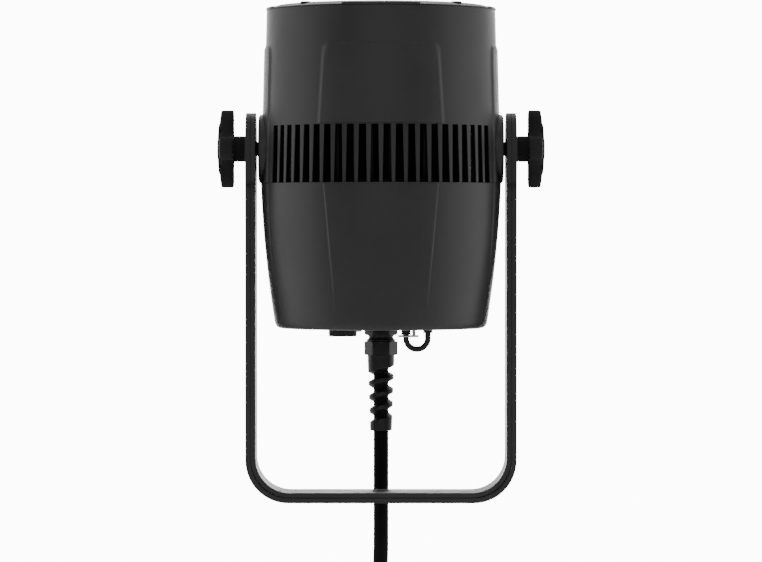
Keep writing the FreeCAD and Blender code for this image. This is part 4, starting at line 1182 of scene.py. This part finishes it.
# ---- mains plug
to_plug = at(-65.0, 18.0)
boot_profile = [(4.9, -177.0), (5.3, -177.6), (6.0, -177.8), (6.5, -178.3)]
for step in range(6):
    z = -180.4 - step * 2.9
    radius = 6.9 + step * 0.42
    boot_profile += [(radius, z + 1.1), (radius, z + 0.15), (radius - 0.9, z - 0.25),
                     (radius - 0.9, z - 0.95), (radius + 0.15, z - 1.35)]
boot_profile += [(9.4, -197.6), (9.4, -198.2), (0.5, -198.4)]
boot = moved(lathe(boot_profile, 64), to_plug)
boot = build("plug_sleeve", boot, "hanging_cord", 30.0, "plug_plastic", "plug_boot")
GRIP_GROOVES = 9
GROOVE_DEPTH = 0.9
GRIP_PROFILE = [(9.0, -198.05, 0), (10.2, -198.6, 0), (12.6, -200.6, 0), (14.3, -203.2, 0),
                (15.0, -206.2, 0.3), (15.0, -208.0, 1.0), (14.9, -214.0, 1.0), (14.8, -220.0, 1.0),
                (14.9, -227.0, 1.0), (15.0, -231.0, 0.6), (15.3, -232.8, 0.2), (16.2, -233.8, 0),
                (17.5, -234.3, 0), (18.0, -235.0, 0), (18.0, -239.1, 0), (17.6, -239.8, 0),
                (16.9, -240.0, 0), (14.2, -240.0, 0), (13.9, -239.7, 0), (13.6, -239.0, 0),
                (1.0, -239.0, 0)]


def plug_part():
    """The plug's grip with finger grooves, a share of their depth in the profile, over a wider face."""
    rings = []
    for radius, z, groove in GRIP_PROFILE:
        ring = []
        for angle in directions(120):
            dip = groove * GROOVE_DEPTH * max(0.0, math.sin(GRIP_GROOVES * angle)) ** 2
            ring.append(polar(radius - dip, angle, z))
        rings.append(ring)
    return skin(rings)


plug = build("plug_shell", moved(plug_part(), to_plug), "hanging_cord", 30.0, "plug_plastic", "plug_body")
CONTACT_PROFILE = [(2.35, -238.8), (2.4, -239.2), (2.4, -256.6), (2.25, -257.7), (1.8, -258.5),
                   (1.1, -258.9), (0.4, -259.0)]
CONTACT_OFFSET = 9.5
contacts = merge([moved(lathe(CONTACT_PROFILE, 40), at(CONTACT_OFFSET * side, 0.0)) for side in (-1, 1)])
contacts = moved(contacts, to_plug)
contacts = build("plug_contacts", contacts, "hanging_cord", 40.0, "pin_metal", "plug_pins")

# ---- the CAD pieces that stay as they are
CAD_FINISHES = {
    "seal_rubber": "glass_seal housing_seal gland_seal blanking_plug_seal",
    "black_metal": "lens_barrel heat_sink bulkhead",
    "reflector_metal": "reflector",
    "circuit_board": "led_board driver_board",
    "led_phosphor": "led_emitter",
    "wire_insulation": "led_wires mains_wires",
    "bright_steel": "heat_sink_screws pillars pillar_screws bulkhead_screws board_standoffs pivot_stud_left"
                    " pivot_stud_right",
    "component_plastic": "driver_parts terminal_block",
    "gland_plastic": "gland_locknut",
    "cord_jacket": "cord_entry",
    "insert_brass": "pivot_insert_left pivot_insert_right",
    "black_steel": "pivot_spacer_left pivot_spacer_right",
    "knob_plastic": "bracket_liner_left bracket_liner_right",
}
for slot, names in CAD_FINISHES.items():
    for name in names.split():
        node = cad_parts[name]
        node.data.materials.clear()
        node.data.materials.append(materials[slot])

# ---- floor and light
FLOOR_Z = -0.262
SWEEP = 0.6
WALL_START = 7.5
WALL_TOP = 4.5
FLOOR_HALF = 9.0


def backdrop():
    """A pale floor that curves up into a wall behind the light."""
    outline = [(-FLOOR_HALF, FLOOR_Z), (-1.0, FLOOR_Z), (WALL_START, FLOOR_Z)]
    for angle in divided(0.0, math.pi / 2.0, 16)[1:]:
        outline.append((WALL_START + SWEEP * math.sin(angle), FLOOR_Z + SWEEP * (1.0 - math.cos(angle))))
    outline.append((WALL_START + SWEEP, WALL_TOP))
    rows = [[(x / MM, y / MM, z / MM) for x in (-FLOOR_HALF, -1.3, 1.3, FLOOR_HALF)] for y, z in outline]
    return skin(rows, False, False, False)


floor = piece("floor", backdrop(), None, 80.0)
pale, tree, shader = node_material("pale_floor", (0.80, 0.80, 0.80), 0.9)
floor_grain = noise(tree, object_coordinates(tree), 30.0, 3.0)
two_tone(tree, shader, floor_grain, (0.79, 0.79, 0.79), (0.81, 0.81, 0.81))
floor.data.materials.append(pale)


def area_light(name, place, target_z, width, height, power):
    """A soft box that looks at a point on the object's axis."""
    data = bpy.data.lights.new(name, "AREA")
    data.shape = "RECTANGLE"
    data.size = width
    data.size_y = height
    data.energy = power
    return aimed(add_to_scene(name, data), place, (0.0, 0.0, target_z))


area_light("top_box", (0.0, -0.1, 1.7), 0.15, 1.6, 1.2, 7.0)
for side in (-1, 1):
    area_light("side_strip", (1.5 * side, 0.1, 0.35), 0.15, 1.9, 1.6, 10.5)
    area_light("rear_strip", (1.0 * side, 1.6, 0.4), 0.15, 0.9, 1.4, 9.0)
area_light("rear_top_box", (0.0, 1.5, 1.5), 0.25, 1.6, 0.8, 16.0)
area_light("front_box", (0.0, -2.9, 1.1), 0.15, 2.2, 1.0, 8.8)
back_panel = area_light("back_panel", (0.0, 2.3, 0.16), 0.16, 1.6, 0.84, 50.0)
back_panel.visible_camera = True

world = bpy.data.worlds.new("studio")
world.use_nodes = True
sky = world.node_tree.nodes["Background"]
sky.inputs["Color"].default_value = (1.0, 1.0, 1.0, 1.0)
sky.inputs["Strength"].default_value = 0.20
bpy.context.scene.world = world
